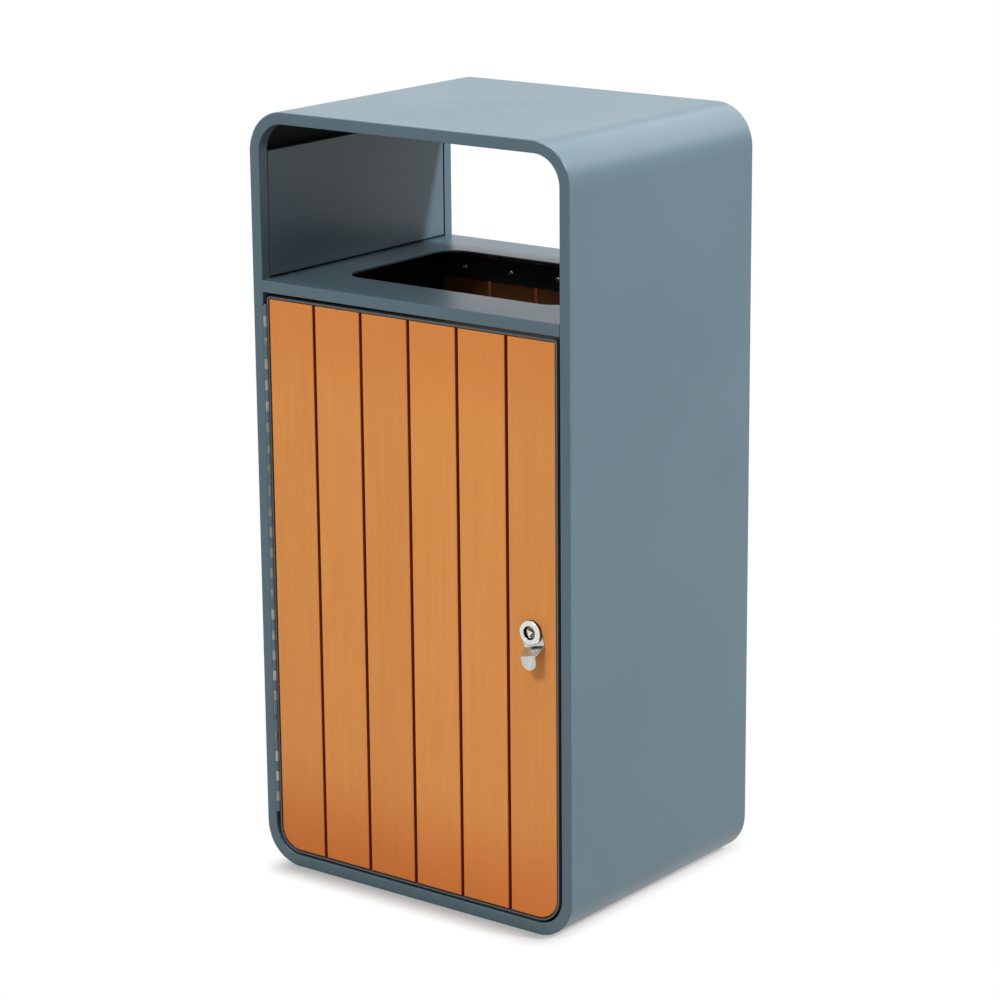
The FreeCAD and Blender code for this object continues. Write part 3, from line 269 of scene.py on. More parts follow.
def drawn_out(tree, where, width, length, noise):
    """The value of noise whose blotches have a width along X and Y and a length along Z."""
    place = add(tree, "ShaderNodeMapping", {
        "Vector": where, "Scale": (1 / width, 1 / width, 1 / length)})
    blotches = add(tree, "ShaderNodeTexNoise", {
        "Vector": place.outputs["Vector"], "Scale": 1.0, **noise})
    return blotches.outputs["Fac"]


def level_of_board(tree, across, panel):
    """A level near 1 that differs from board to board, whose pitch comes from a panel's first two slats."""
    first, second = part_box(f"{panel}_slat_1"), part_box(f"{panel}_slat_2")
    pitch = second[0].x - first[0].x
    middle_of_gap = (first[1].x + second[0].x) / 2
    from_gap = add(tree, "ShaderNodeMath", {0: across, 1: middle_of_gap}, operation="SUBTRACT")
    in_boards = add(tree, "ShaderNodeMath", {0: from_gap.outputs["Value"], 1: pitch}, operation="DIVIDE")
    number = add(tree, "ShaderNodeMath", {0: in_boards.outputs["Value"]}, operation="FLOOR")
    chance = add(tree, "ShaderNodeTexWhiteNoise", {"W": number.outputs["Value"]}, noise_dimensions="1D")
    level = add(tree, "ShaderNodeMapRange", {
        "Value": chance.outputs["Value"], "To Min": 1 - BOARD_SPREAD, "To Max": 1 + BOARD_SPREAD})
    print(panel, "boards, pitch", round(pitch / MM, 2), "mm")
    return level.outputs["Result"]


def grain(tree, where, streak, level):
    """The plain colour of a board: streaks, a mottle of flour and the board's own level."""
    dark, light = [linear(tone) for tone in STREAK_TONES]
    streaked = add(tree, "ShaderNodeMix", {"Factor": streak, "A": dark, "B": light}, data_type="RGBA")
    mottle = add(tree, "ShaderNodeTexNoise", {
        "Vector": where, "Scale": 1 / MOTTLE, "Detail": 3.0, "Roughness": 0.55})
    share = add(tree, "ShaderNodeMapRange", {
        "Value": mottle.outputs["Fac"], **FLOUR_SPAN, "To Max": FLOUR_SHARE})
    floured = add(tree, "ShaderNodeMix", {
        "Factor": share.outputs["Result"], "A": streaked.outputs["Result"],
        "B": linear(FLOUR_TONE)}, data_type="RGBA")
    levelled = add(tree, "ShaderNodeHueSaturation", {"Value": level, "Color": floured.outputs["Result"]})
    return levelled.outputs["Color"]


print("streaks", round(STREAK_WIDTH / MM), "by", round(STREAK_LENGTH / MM), "mm")

# %% [markdown]
# Painted light and shade come on top. The feet of the boards are painted a little darker and redder, as
# painted shade near the ground, and the heads a little darker, as painted shade under the deck's edge. The
# faces towards the bucket have a patchy darker film, part dirt and part painted shade of the bin's inside:
# it multiplies the colour of the board, so the grain still shows through it. The narrow sides get a painted
# tone: on the door a dark red, painted shade that shows as dark red lines between its boards, and on the
# back a pale one, painted light from the gaps.

# %% Painted shade at foot and head, dirt with painted shade, and painted sides
# Painted shade: each board is darkened towards its foot and towards its head.
FOOT_SHADE_HEIGHT = 140 * MM
FOOT_SHADE_SHARE = 0.65
FOOT_SHADE_TONE = "#cc6414"
SHADE_HEIGHT = 130 * MM
SHADE_SHARE = 0.7
SHADE_TONE = "#d37d33"
# The film on the inward faces is part dirt and part painted shade of the bin's inside.
STAIN_AND_SHADE_PATCH = 120 * MM
STAIN_AND_SHADE_LEAST = 0.85
STAIN_AND_SHADE_TONE = "#8c8a90"
SIDE_SPAN = {"From Min": 0.8, "From Max": 0.98}


def shaded_foot_and_head(tree, colour, height, foot, head):
    """A board's colour with painted shade towards its foot and towards its head."""
    # Painted shade towards the foot of the board.
    foot_shade = add(tree, "ShaderNodeMapRange", {
        "Value": height, "From Min": foot, "From Max": foot + FOOT_SHADE_HEIGHT,
        "To Min": FOOT_SHADE_SHARE, "To Max": 0.0}, interpolation_type="SMOOTHSTEP")
    foot_shaded = add(tree, "ShaderNodeMix", {
        "Factor": foot_shade.outputs["Result"], "A": colour, "B": linear(FOOT_SHADE_TONE)}, data_type="RGBA")
    # Painted shade towards the head of the board, under the deck's edge.
    shade = add(tree, "ShaderNodeMapRange", {
        "Value": height, "From Min": head - SHADE_HEIGHT, "From Max": head,
        "To Max": SHADE_SHARE}, interpolation_type="SMOOTHSTEP")
    shaded = add(tree, "ShaderNodeMix", {
        "Factor": shade.outputs["Result"], "A": foot_shaded.outputs["Result"],
        "B": linear(SHADE_TONE)}, data_type="RGBA")
    return shaded.outputs["Result"]


def soiled_and_shaded(tree, where, colour):
    """A board's colour with a patchy film, part dirt and part painted shade, on the faces towards the
    bucket.
    """
    stain_and_shade = add(tree, "ShaderNodeTexNoise", {"Vector": where, "Scale": 1 / STAIN_AND_SHADE_PATCH, "Detail": 4.0})
    film = add(tree, "ShaderNodeMapRange", {
        "Value": stain_and_shade.outputs["Fac"], **NARROW_SPAN, "To Min": STAIN_AND_SHADE_LEAST, "To Max": 1.0})
    # Only the inward faces get the film of dirt and painted shade.
    inside = faces_inside(tree, where, FRONT_AND_BACK)
    share = add(tree, "ShaderNodeMath", {0: film.outputs["Result"], 1: inside}, operation="MULTIPLY")
    filmed = add(tree, "ShaderNodeMix", {
        "Factor": share.outputs["Value"], "A": colour,
        "B": linear(STAIN_AND_SHADE_TONE)}, data_type="RGBA", blend_type="MULTIPLY")
    return filmed.outputs["Result"]


def with_painted_sides(tree, colour, painted_side_tone):
    """A board's colour with a painted tone on its narrow sides, whose normals run across the panel: the
    light and shade of the gaps.
    """
    normal = add(tree, "ShaderNodeTexCoord").outputs["Normal"]
    facing = add(tree, "ShaderNodeSeparateXYZ", {"Vector": normal})
    sideways = add(tree, "ShaderNodeMath", {0: facing.outputs["X"]}, operation="ABSOLUTE")
    narrow = add(tree, "ShaderNodeMapRange", {"Value": sideways.outputs["Value"], **SIDE_SPAN})
    sided = add(tree, "ShaderNodeMix", {
        "Factor": narrow.outputs["Result"], "A": colour, "B": linear(painted_side_tone)}, data_type="RGBA")
    return sided.outputs["Result"]


print("damp up to", round(FOOT_SHADE_HEIGHT / MM), "mm, shade down to", round(SHADE_HEIGHT / MM), "mm")

# %% [markdown]
# The brushing is finer than the picture can show, so its grooves are drawn 1.6 mm apart. They are a bump in
# the finish, because they are too shallow to change a board's outline. A pale streak is a little smoother.

# %% The boards of the door and of the back
BRUSH_WIDTH = 1.6 * MM
BRUSH_LENGTH = 45 * MM
BRUSH_DEPTH = 0.2 * MM
BRUSH_STRENGTH = 0.25


def composite_board(name, panel, painted_side_tone):
    """Brushed wood-plastic boards of one panel."""
    material, tree, surface, where = new_finish(name)
    place = add(tree, "ShaderNodeSeparateXYZ", {"Vector": where})
    foot, head = [corner.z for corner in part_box(f"{panel}_slat_1")]
    streak = drawn_out(tree, where, STREAK_WIDTH, STREAK_LENGTH, {"Detail": 5.0, "Roughness": 0.6})
    colour = grain(tree, where, streak, level_of_board(tree, place.outputs["X"], panel))
    colour = shaded_foot_and_head(tree, colour, place.outputs["Z"], foot, head)
    colour = soiled_and_shaded(tree, where, colour)
    colour = with_painted_sides(tree, colour, painted_side_tone)
    brush = drawn_out(tree, where, BRUSH_WIDTH, BRUSH_LENGTH, {"Detail": 2.0})
    bump = add(tree, "ShaderNodeBump", {
        "Height": brush, "Strength": BRUSH_STRENGTH, "Distance": BRUSH_DEPTH})
    dull = add(tree, "ShaderNodeMapRange", {"Value": streak, "To Min": 0.62, "To Max": 0.52})
    board = add(tree, "ShaderNodeBsdfPrincipled", {
        "Base Color": colour, "Roughness": dull.outputs["Result"],
        "Normal": bump.outputs["Normal"], "IOR": 1.46})
    tree.links.new(board.outputs["BSDF"], surface)
    return material


# The door's narrow sides are dark red painted shade; the back's are pale painted light.
door_board = composite_board("wood_plastic_door", "door", painted_side_tone="#a33a12")
rear_board = composite_board("wood_plastic_back", "rear", painted_side_tone="#dc9a5c")
print("boards", door_board.name, rear_board.name)

# %% [markdown]
# ## Bright metals and zinc plate
#
# The pull tab is rolled stainless steel, bright along the rolling direction, and the hinge is the same steel
# in dark, dull patches and pale ones: painted reflection, which makes its glints uneven. The lock is a zinc
# casting with polished chrome. A span of depths behind the head's face is painted nearly black: painted
# shade on the walls of its key recess and a painted dark reflection on the sides of its head. The core at
# the foot of the recess is rubbed by the key, a little rougher, and its painted shade is only a grey film.
# Screws, rivets, the cam and the lock's nut have a thin zinc plate, bright but a little uneven. Metals keep
# the default index of refraction, because their colour comes from the metallic setting.

# %% Rolled and plated metals
SHADE_SPAN_EDGE = 0.8 * MM
PATCH_STRENGTH = 0.1
# Nearly black painted shade for the lock's key recess, and a painted dark reflection on its head's sides.
BLACK_PAINTED_SHADE = "#1b1a18"
# A lighter, grey painted shade for the lock's core.
GREY_PAINTED_SHADE = "#6b6963"


def shade_over_depths(tree, where, colour, span, film):
    """A metal's colour with a film of painted shade over a span of depths along Y."""
    start, stop = span
    depth = add(tree, "ShaderNodeSeparateXYZ", {"Vector": where}).outputs["Y"]
    after_start = add(tree, "ShaderNodeMapRange", {
        "Value": depth, "From Min": start, "From Max": start + SHADE_SPAN_EDGE})
    before_stop = add(tree, "ShaderNodeMapRange", {
        "Value": depth, "From Min": stop, "From Max": stop + SHADE_SPAN_EDGE, "To Min": 1.0, "To Max": 0.0})
    share = add(tree, "ShaderNodeMath", {
        0: after_start.outputs["Result"], 1: before_stop.outputs["Result"]}, operation="MULTIPLY")
    filmed = add(tree, "ShaderNodeMix", {
        "Factor": share.outputs["Value"], "A": colour, "B": linear(film)}, data_type="RGBA")
    return filmed.outputs["Result"]


def bright_metal(name, tones, width, length, rough, grit, shade_span=None, film=BLACK_PAINTED_SHADE):
    """A metal skin in patches of two greys, the pale one smoother. Painted shade, if given, covers a span
    along Y.
    """
    material, tree, surface, where = new_finish(name)
    patches = drawn_out(tree, where, width, length, {"Detail": 4.0, "Roughness": 0.6})
    share = add(tree, "ShaderNodeMapRange", {"Value": patches, **WIDE_SPAN}).outputs["Result"]
    dark, light = [linear(tone) for tone in tones]
    colour = add(tree, "ShaderNodeMix", {
        "Factor": share, "A": dark, "B": light}, data_type="RGBA").outputs["Result"]
    if shade_span:
        colour = shade_over_depths(tree, where, colour, shade_span, film)
    smooth, dull = rough
    gloss = add(tree, "ShaderNodeMapRange", {"Value": share, "To Min": dull, "To Max": smooth})
    bump = add(tree, "ShaderNodeBump", {
        "Height": patches, "Strength": PATCH_STRENGTH, "Distance": grit})
    metal = add(tree, "ShaderNodeBsdfPrincipled", {
        "Base Color": colour, "Roughness": gloss.outputs["Result"],
        "Normal": bump.outputs["Normal"], "Metallic": 1.0})
    tree.links.new(metal.outputs["BSDF"], surface)
    return material


print("tarnish fades over", round(SHADE_SPAN_EDGE / MM, 1), "mm")

# %% The metals of the tab, the hinge, the lock and the fasteners
CHROME = ("#d4d4d0", "#e2e2de")
BEHIND_LOCK_FACE = 1.3 * MM
BEHIND_BOARD_FACE = 2 * MM
lock_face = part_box("lock_housing")[0].y
board_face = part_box("door_slat_6")[0].y
# The span of depths along Y that gets the painted shade on the lock.
lock_shade_span = (lock_face + BEHIND_LOCK_FACE, board_face + BEHIND_BOARD_FACE)

rolled_stainless = bright_metal(
    "rolled_stainless", ("#b6b6b0", "#d2d2cc"), width=3 * MM, length=36 * MM,
    rough=(0.24, 0.34), grit=0.02 * MM)
# Dark and pale patches make the hinge's glints uneven: painted reflection.
patchy_glint_stainless = bright_metal(
    "patchy_glint_stainless", ("#2f2f2e", "#a9a9a3"), width=18 * MM, length=54 * MM,
    rough=(0.3, 0.5), grit=0.02 * MM)
# Polished chrome with painted shade in the key recess and a painted dark reflection on the head's sides.
polished_chrome = bright_metal(
    "polished_chrome", CHROME, width=8 * MM, length=8 * MM,
    rough=(0.08, 0.14), grit=0.01 * MM, shade_span=lock_shade_span)
# The key-worn core: rougher chrome with a grey painted shade.
worn_chrome_grey_shade = bright_metal(
    "worn_chrome_grey_shade", CHROME, width=8 * MM, length=8 * MM,
    rough=(0.14, 0.24), grit=0.01 * MM, shade_span=lock_shade_span, film=GREY_PAINTED_SHADE)
zinc_plate = bright_metal(
    "zinc_plate", ("#b4b4ae", "#d4d4ce"), width=4 * MM, length=4 * MM,
    rough=(0.2, 0.3), grit=0.03 * MM)
print("the lock's tarnish lies between", [round(y / MM, 1) for y in lock_shade_span], "mm along Y")

# %% [markdown]
# ## Galvanised sheet and rubber
#
# The bucket was dipped in molten zinc, which freezes in flat crystals, the spangle, about 11 mm across; a
# Voronoi texture gives each crystal its own grey and its own gloss. The bumper is black rubber with the fine
# grain of its mould.

# %% Galvanised sheet and rubber
SPANGLE = 11 * MM
RUBBER_GRAIN = 0.8 * MM
RUBBER_DEPTH = 0.1 * MM
RUBBER_STRENGTH = 0.3


def galvanised_sheet(name):
    """Hot-dipped zinc: flat crystals, each with its own grey and its own gloss."""
    material, tree, surface, where = new_finish(name)
    crystals = add(tree, "ShaderNodeTexVoronoi", {"Vector": where, "Scale": 1 / SPANGLE})
    chance = add(tree, "ShaderNodeSeparateColor", {"Color": crystals.outputs["Color"]})
    colour = add(tree, "ShaderNodeMix", {
        "Factor": chance.outputs["Red"], "A": linear("#898e91"), "B": linear("#a3a8aa")}, data_type="RGBA")
    gloss = add(tree, "ShaderNodeMapRange", {
        "Value": chance.outputs["Green"], "To Min": 0.42, "To Max": 0.55})
    zinc = add(tree, "ShaderNodeBsdfPrincipled", {
        "Base Color": colour.outputs["Result"], "Roughness": gloss.outputs["Result"], "Metallic": 0.9})
    tree.links.new(zinc.outputs["BSDF"], surface)
    return material


def moulded_rubber(name):
    """Black rubber with the fine grain of its mould."""
    material, tree, surface, where = new_finish(name)
    speck = add(tree, "ShaderNodeTexNoise", {
        "Vector": where, "Scale": 1 / RUBBER_GRAIN, "Detail": 2.0}).outputs["Fac"]
    colour = add(tree, "ShaderNodeMix", {
        "Factor": speck, "A": linear("#161616"), "B": linear("#262626")}, data_type="RGBA")
    bump = add(tree, "ShaderNodeBump", {
        "Height": speck, "Strength": RUBBER_STRENGTH, "Distance": RUBBER_DEPTH})
    rubber = add(tree, "ShaderNodeBsdfPrincipled", {
        "Base Color": colour.outputs["Result"], "Roughness": 0.8, "Normal": bump.outputs["Normal"]})
    tree.links.new(rubber.outputs["BSDF"], surface)
    return material


galvanised = galvanised_sheet("galvanised_sheet")
black_rubber = moulded_rubber("moulded_rubber")
print("spangle", round(SPANGLE / MM), "mm, rubber grain", round(RUBBER_GRAIN / MM, 1), "mm")

# %% [markdown]
# ## Dressing the CAD pieces
#
# The imported record names a material slot for every CAD piece. Each slot gets its finish, and a few pieces
# need a second look: the door and the back have different board pitches, the hinge has painted glints, the
# lock's core is worn by the key and has lighter painted shade, and the hollow's sheets have painted shade
# inside.

# %% Give every CAD piece its finish
FINISHES = {
    "shell_paint": shell_coat,
    "frame_paint": frame_coat,
    "slats": door_board,
    "stainless": rolled_stainless,
    "lock_chrome": polished_chrome,
    "zinc_steel": zinc_plate,
    "galvanised": galvanised,
    "rubber": black_rubber,
}
HOLLOW = ("shell_roof", "shell_side_left", "shell_side_right", "shell_corners")
for row in frame["record"]["subparts"]:
    finish = FINISHES[row["material_slot"]]
    if row["node"].startswith("rear_slat_") and finish is door_board:
        finish = rear_board
    if row["node"].startswith("hinge_") and finish is rolled_stainless:
        finish = patchy_glint_stainless
    if row["node"] == "lock_core":
        finish = worn_chrome_grey_shade
    # The sheets round the hollow get the coat with painted shade inside.
    if row["node"] in HOLLOW:
        finish = hollow_coat
    slots = nodes[row["node"]].data.materials
    slots.clear()
    slots.append(finish)

# %% [markdown]
# ## Screws and rivets
#
# A slat screw has a pan head with a cross recess, the cam's screw has a hexagon socket, and a rivet has a
# low dome at each end. Each is drawn once, as a profile turned about its axis, with the recess cut out by a
# Boolean.

# %% Turn a profile about its axis
TURN_STEPS = 24


def object_from(shape, name):
    """A new object made from a bmesh, which is used up."""
    bmesh.ops.recalc_face_normals(shape, faces=shape.faces)
    mesh = bpy.data.meshes.new(name)
    shape.to_mesh(mesh)
    shape.free()
    return in_scene(name, mesh)


def turn_profile(name, profile):
    """A closed piece turned about Z from (radius, height) points that start and end on the axis."""
    angles = [2 * math.pi * k / TURN_STEPS for k in range(TURN_STEPS)]
    shape = bmesh.new()
    rings = []
    for radius, height in profile:
        around = [(radius * math.cos(a), radius * math.sin(a)) for a in angles] if radius else [(0, 0)]
        rings.append([shape.verts.new((x, y, height)) for x, y in around])
    for upper, lower in zip(rings, rings[1:]):
        for k in range(TURN_STEPS):
            corners = [upper[k % len(upper)], lower[k % len(lower)],
                       lower[(k + 1) % len(lower)], upper[(k + 1) % len(upper)]]
            shape.faces.new(list(dict.fromkeys(corners)))
    return object_from(shape, name)


print("a turned ring has", TURN_STEPS, "steps")

# %% Cut a recess
CROSS_WIDTH = 0.9 * MM
CROSS_LENGTH = 4.4 * MM
CROSS_DEPTH = 1.4 * MM
SOCKET_FLATS = 4 * MM
SOCKET_DEPTH = 2 * MM


def cross_outline():
    """The outline of a cross recess: three corners of one arm, turned by quarters."""
    a, b = CROSS_WIDTH / 2, CROSS_LENGTH / 2
    arm = [(a, a), (a, b), (-a, b)]
    quarters = [(1, 0), (0, 1), (-1, 0), (0, -1)]
    return [(c * x - s * y, s * x + c * y) for c, s in quarters for x, y in arm]


def socket_outline():
    """The outline of a hexagon socket."""
    reach = SOCKET_FLATS / math.sqrt(3)
    angles = [math.radians(60 * k) for k in range(6)]
    return [(reach * math.cos(a), reach * math.sin(a)) for a in angles]


def cut_recess(piece, outline, top, depth):
    """Cuts a recess of a given outline into the top of a fastener."""
    shape = bmesh.new()
    shape.faces.new([shape.verts.new((x, y, top - depth)) for x, y in outline])
    raised = bmesh.ops.extrude_face_region(shape, geom=shape.faces[:])
    lifted = [v for v in raised["geom"] if isinstance(v, bmesh.types.BMVert)]
    bmesh.ops.translate(shape, verts=lifted, vec=(0, 0, 2 * depth))
    cutter = object_from(shape, "recess")
    cut = piece.modifiers.new("recess", "BOOLEAN")
    cut.object = cutter
    cut.operation = "DIFFERENCE"
    evaluated = piece.evaluated_get(bpy.context.evaluated_depsgraph_get())
    piece.data = bpy.data.meshes.new_from_object(evaluated)
    piece.modifiers.clear()
    bpy.data.objects.remove(cutter)


print("a cross has", len(cross_outline()), "corners, a socket", len(socket_outline()))

# %% [markdown]
# A head's profile is written as shares of its radius and its rise, from the top of the axis to the rim, so
# the same few numbers would serve a larger screw. The shank follows below the head.

# %% Draw one of each fastener
PAN_HEAD = ((0, 1), (0.55, 0.98), (0.8, 0.86), (0.95, 0.6), (1, 0.3), (1, 0))
CAP_HEAD = ((0, 1), (0.88, 1), (1, 0.8), (1, 0))
LOW_DOME = ((0, 1), (0.35, 0.95), (0.65, 0.78), (0.88, 0.45), (1, 0))
SCREW_HEAD, SCREW_RISE, SCREW_SHANK, SCREW_LENGTH, SCREW_TIP = 4 * MM, 2.2 * MM, 2 * MM, 14.4 * MM, 1.5 * MM
CAM_HEAD, CAM_RISE, CAM_SHANK, CAM_LENGTH = 5 * MM, 3 * MM, 2.5 * MM, 8 * MM
RIVET_HEAD, RIVET_RISE, RIVET_SHANK, RIVET_GRIP = 4 * MM, 1.5 * MM, 2 * MM, 3 * MM


def head_profile(shares, radius, rise, seat=0):
    """The (radius, height) points of a head that sits at a given height."""
    return [(r * radius, seat + h * rise) for r, h in shares]


slat_screw = turn_profile("slat_screw", [
    *head_profile(PAN_HEAD, SCREW_HEAD, SCREW_RISE),
    (SCREW_SHANK, 0), (SCREW_SHANK, SCREW_TIP - SCREW_LENGTH), (0, -SCREW_LENGTH)])
cut_recess(slat_screw, cross_outline(), SCREW_RISE, CROSS_DEPTH)
cam_bolt = turn_profile("cam_bolt", [
    *head_profile(CAP_HEAD, CAM_HEAD, CAM_RISE),
    (CAM_SHANK, 0), (CAM_SHANK, -CAM_LENGTH), (0, -CAM_LENGTH)])
cut_recess(cam_bolt, socket_outline(), CAM_RISE, SOCKET_DEPTH)
outer_half = [
    *head_profile(LOW_DOME, RIVET_HEAD, RIVET_RISE, seat=RIVET_GRIP / 2), (RIVET_SHANK, RIVET_GRIP / 2)]
ear_rivet = turn_profile("ear_rivet", outer_half + [(r, -h) for r, h in reversed(outer_half)])
for fastener in (slat_screw, cam_bolt, ear_rivet):
    print(fastener.name, len(fastener.data.polygons), "faces")

# %% [markdown]
# Geometry Nodes put a copy of a fastener on every place where the CAD model has one, turn each by its own
# chance angle as a fitter leaves them, make the copies real and give them their finish. The tree is one for
# all fasteners. Its inputs are the fastener, the way its head faces, the finish and a seed, so it serves the
# door, the back, the cam and the bucket's ears.

# %% Build the tree that copies fasteners
def fastener_tree():
    """A Geometry Nodes tree that puts a fastener on every point of a mesh."""
    tree = bpy.data.node_groups.new("fasteners_on_points", "GeometryNodeTree")
    face = tree.interface
    face.new_socket("Points", in_out="INPUT", socket_type="NodeSocketGeometry")
    face.new_socket("Fastener", in_out="INPUT", socket_type="NodeSocketObject")
    face.new_socket("Facing", in_out="INPUT", socket_type="NodeSocketRotation")
    face.new_socket("Finish", in_out="INPUT", socket_type="NodeSocketMaterial")
    face.new_socket("Seed", in_out="INPUT", socket_type="NodeSocketInt")
    face.new_socket("Fasteners", in_out="OUTPUT", socket_type="NodeSocketGeometry")
    given = add(tree, "NodeGroupInput").outputs
    piece = add(tree, "GeometryNodeObjectInfo", {"Object": given["Fastener"], "As Instance": True})
    copies = add(tree, "GeometryNodeInstanceOnPoints", {
        "Points": given["Points"], "Instance": piece.outputs["Geometry"], "Rotation": given["Facing"]})
    chance = add(tree, "FunctionNodeRandomValue", {
        "Max": 2 * math.pi, "Seed": given["Seed"]}, data_type="FLOAT")
    about_axis = add(tree, "ShaderNodeCombineXYZ", {"Z": chance.outputs["Value"]})
    as_turn = add(tree, "FunctionNodeEulerToRotation", {"Euler": about_axis.outputs["Vector"]})
    spun = add(tree, "GeometryNodeRotateInstances", {
        "Instances": copies.outputs["Instances"], "Rotation": as_turn.outputs["Rotation"],
        "Local Space": True})
    real = add(tree, "GeometryNodeRealizeInstances", {"Geometry": spun.outputs["Instances"]})
    coated = add(tree, "GeometryNodeSetMaterial", {
        "Geometry": real.outputs["Geometry"], "Material": given["Finish"]})
    add(tree, "NodeGroupOutput", {"Fasteners": coated.outputs["Geometry"]})
    return tree


FASTENERS = fastener_tree()
INPUTS = {s.name: s.identifier for s in FASTENERS.interface.items_tree if s.in_out == "INPUT"}
print("inputs", list(INPUTS))

# %% [markdown]
# The places come from the CAD pieces: a slat screw sits where a slat crosses a rail, apart from the place
# that the lock's barrel takes, and its head lies on the rail. A plain mesh remains of each set of fasteners,
# and the modifier goes, so that the set can ride on its body and replace the plain cylinders.

# %% Find the places and copy the fasteners
SHARP_ANGLE = math.radians(35)
SLATS = 6
RAILS = ("top", "middle", "bottom")
LOCK_CLEARANCE = 5 * MM


def place_fasteners(name, fastener, places, facing, finish, seed):
    """One mesh with a copy of a fastener on every place."""
    points = bpy.data.meshes.new(f"{name}_places")
    points.from_pydata([tuple(p) for p in places], [], [])
    piece = in_scene(name, points)
    repeat = piece.modifiers.new("fasteners", "NODES")
    repeat.node_group = FASTENERS
    repeat[INPUTS["Fastener"]] = fastener
    repeat[INPUTS["Facing"]] = facing
    repeat[INPUTS["Finish"]] = finish
    repeat[INPUTS["Seed"]] = seed
    bpy.context.view_layer.update()
    evaluated = piece.evaluated_get(bpy.context.evaluated_depsgraph_get())
    mesh = bpy.data.meshes.new_from_object(evaluated)
    piece.modifiers.clear()
    piece.data = mesh
    mesh.name = name
    mesh.materials.clear()
    mesh.materials.append(finish)
    mesh.set_sharp_from_angle(angle=SHARP_ANGLE)
    bpy.data.meshes.remove(points)
    print(name, len(places), "copies,", len(mesh.polygons), "faces")
    return piece


def middle(node):
    """The middle of a CAD piece's box."""
    low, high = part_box(node)
    return (low + high) / 2


def screw_places(panel, seat):
    """The middle of every slat on every rail, apart from where the lock's barrel is."""
    lock_place = middle("lock_housing")
    places = []
    for rail in RAILS:
        height = middle(f"{panel}_rail_{rail}").z
        for slat in range(1, SLATS + 1):
            place = Vector((middle(f"{panel}_slat_{slat}").x, seat, height))
            if panel == "rear" or (place - lock_place).xz.length > LOCK_CLEARANCE:
                places.append(place)
    return places


print("a panel has up to", SLATS * len(RAILS), "slat screws")

# %% Fasten the boards, the cam and the bucket's ears
FACING_BACK = (-math.pi / 2, 0, 0)
FACING_FRONT = (math.pi / 2, 0, 0)
FACING_RIGHT = (0, math.pi / 2, 0)

door_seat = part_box("door_rail_top")[1].y
rear_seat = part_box("rear_rail_top")[0].y
door_screws = place_fasteners(
    "door_pan_head_screws", slat_screw, screw_places("door", door_seat), FACING_BACK, zinc_plate, seed=3)
rear_screws = place_fasteners(
    "rear_pan_head_screws", slat_screw, screw_places("rear", rear_seat), FACING_FRONT, zinc_plate, seed=8)
cam_place = middle("cam_screw")
cam_place.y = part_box("cam_screw")[1].y - CAM_RISE
cam_screws = place_fasteners(
    "cam_socket_screw", cam_bolt, [cam_place], FACING_BACK, zinc_plate, seed=1)
rivet_low, rivet_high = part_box("pivot_rivets")
rivet_side = rivet_high.x - RIVET_RISE - RIVET_GRIP / 2
rivet_places = [
    (side * rivet_side, depth, middle("pivot_rivets").z)
    for side in (1, -1) for depth in (rivet_low.y + RIVET_HEAD, rivet_high.y - RIVET_HEAD)]
ear_rivets = place_fasteners(
    "domed_ear_rivets", ear_rivet, rivet_places, FACING_RIGHT, zinc_plate, seed=5)
for piece, node, body in (
        (door_screws, "door_slat_screws", "door"), (rear_screws, "rear_slat_screws", "cabinet"),
        (cam_screws, "cam_screw", "lock_core"), (ear_rivets, "pivot_rivets", "bucket")):
    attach(piece, body)
    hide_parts(node)
for fastener in (slat_screw, cam_bolt, ear_rivet):
    bpy.data.objects.remove(fastener)

# %% [markdown]
# ## The floor and the background
#
# The bin stands on a plain pale floor in front of plain white. The floor is one large sheet. It is lit like
# anything else, so it keeps the bin's soft contact shadow. For the camera and in reflections it is mixed
# with plain white: a fifth of white against the bin, where the shadow is, and all white further out. How far
# out a point lies is its distance from the rectangle on which the bin stands, which is the flat part of its
# base between the rounded edges.

# %% Floor
FLOOR_SIZE = 40
FLOOR_LIFT = 0.2
SHADOW_REACH = 45 * MM
WHITE = linear("#ffffff")
PALE_GREY = linear("#a2a2a0")


def seen_or_mirrored(tree):
    """An output that is 1 for the camera and in reflections and glass, and 0 where light is gathered."""
    ray = add(tree, "ShaderNodeLightPath").outputs
    seen = add(tree, "ShaderNodeMath", {
        0: ray["Is Camera Ray"], 1: ray["Is Glossy Ray"]}, operation="ADD")
    with_glass = add(tree, "ShaderNodeMath", {
        0: seen.outputs["Value"], 1: ray["Is Transmission Ray"]}, operation="ADD", use_clamp=True)
    return with_glass.outputs["Value"]


def distance_from_base(tree, where):
    """An output with how far a point of the floor lies from the rectangle on which the bin stands."""
    half_base = (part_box("shell_base")[1].x, cad_high.y, 0)
    either_side = add(tree, "ShaderNodeVectorMath", {0: where}, operation="ABSOLUTE")
    past_edge = add(tree, "ShaderNodeVectorMath", {
        0: either_side.outputs["Vector"], 1: half_base}, operation="SUBTRACT")
    outside = add(tree, "ShaderNodeVectorMath", {
        0: past_edge.outputs["Vector"], 1: (0, 0, 0)}, operation="MAXIMUM")
    away = add(tree, "ShaderNodeVectorMath", {0: outside.outputs["Vector"]}, operation="LENGTH")
    return away.outputs["Value"]


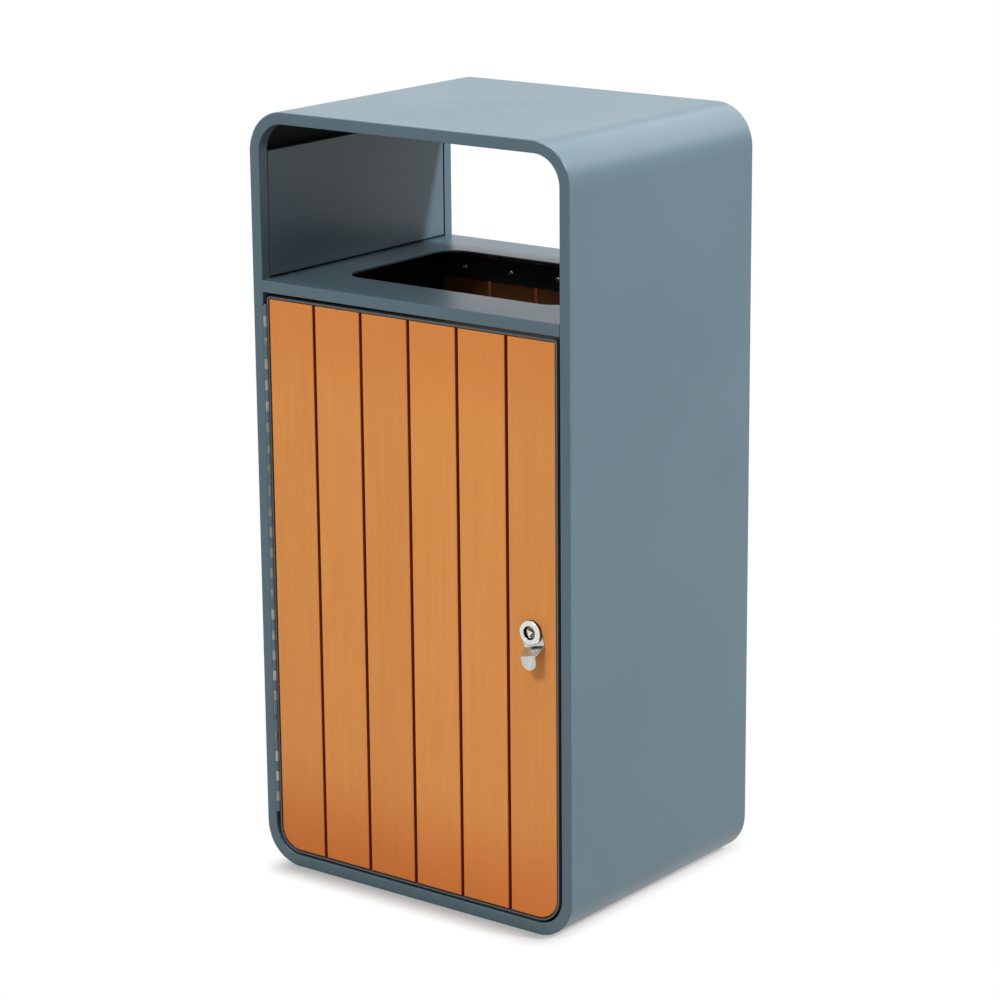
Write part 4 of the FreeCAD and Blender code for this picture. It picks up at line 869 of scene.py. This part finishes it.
half = FLOOR_SIZE / 2
floor_mesh = bpy.data.meshes.new("floor")
floor_mesh.from_pydata(
    [(-half, -half, 0), (half, -half, 0), (half, half, 0), (-half, half, 0)], [], [(0, 1, 2, 3)])
floor = in_scene("floor", floor_mesh)
floor_finish, tree, surface, where = new_finish("pale_floor")
lift = add(tree, "ShaderNodeMapRange", {
    "Value": distance_from_base(tree, where), "From Max": SHADOW_REACH,
    "To Min": FLOOR_LIFT, "To Max": 1.0}, interpolation_type="SMOOTHSTEP")
share = add(tree, "ShaderNodeMath", {
    0: seen_or_mirrored(tree), 1: lift.outputs["Result"]}, operation="MULTIPLY", use_clamp=True)
matt = add(tree, "ShaderNodeBsdfDiffuse", {"Color": PALE_GREY})
white = add(tree, "ShaderNodeEmission", {"Color": WHITE, "Strength": 1.0})
mixed = add(tree, "ShaderNodeMixShader", {
    "Fac": share.outputs["Value"], 1: matt.outputs["BSDF"], 2: white.outputs["Emission"]})
tree.links.new(mixed.outputs["Shader"], surface)
floor_mesh.materials.append(floor_finish)
print("floor", FLOOR_SIZE, "m")

# %% [markdown]
# ## Light
#
# Plain studio light: a pale dome all round and four panels. The dome is seen as plain white by the camera
# and in reflections, and its own level lights the rest.

# %% The dome
DOME_LEVEL = 0.36
bpy.context.scene.view_settings.view_transform = "Standard"
world = bpy.data.worlds.new("studio_dome")
bpy.context.scene.world = world
world.use_nodes = True
tree = world.node_tree
tree.nodes.clear()
level = add(tree, "ShaderNodeMapRange", {
    "Value": seen_or_mirrored(tree), "To Min": DOME_LEVEL, "To Max": 1.0})
dome = add(tree, "ShaderNodeBackground", {"Color": WHITE, "Strength": level.outputs["Result"]})
add(tree, "ShaderNodeOutputWorld", {"Surface": dome.outputs["Background"]})
print("dome level", DOME_LEVEL)

# %% [markdown]
# A small panel high on the right and a little behind lights the right side and throws a patch of light
# through the hood on to its left lining. A broad one high in front lights the boards, but is too high to
# shine through the drop opening. One above lights the roof. A wide, weak one behind is there for its
# reflection, which draws the pale band along the rounded edge.

# %% The panels
AIM = Vector((0, 0, 0.5))
# Each row has a name, a place in metres, a width and a height in metres, and watts.
PANELS = (
    ("right_panel", (4.97, 1.33, 4.8), (0.4, 0.4), 530),
    ("front_panel", (-0.2, -4.2, 4.4), (1.6, 1.6), 166),
    ("top_panel", (0.0, 0.3, 3.6), (2.0, 2.0), 68),
    ("back_panel", (0.8, 4.4, 3.1), (5.0, 2.4), 60),
)
for name, place, (width, height), watts in PANELS:
    panel = bpy.data.lights.new(name, "AREA")
    panel.shape = "RECTANGLE"
    panel.size = width
    panel.size_y = height
    panel.energy = watts
    lamp = in_scene(name, panel)
    lamp.location = place
    lamp.rotation_euler = (AIM - Vector(place)).to_track_quat("-Z", "Y").to_euler()
    print(name, watts, "W")
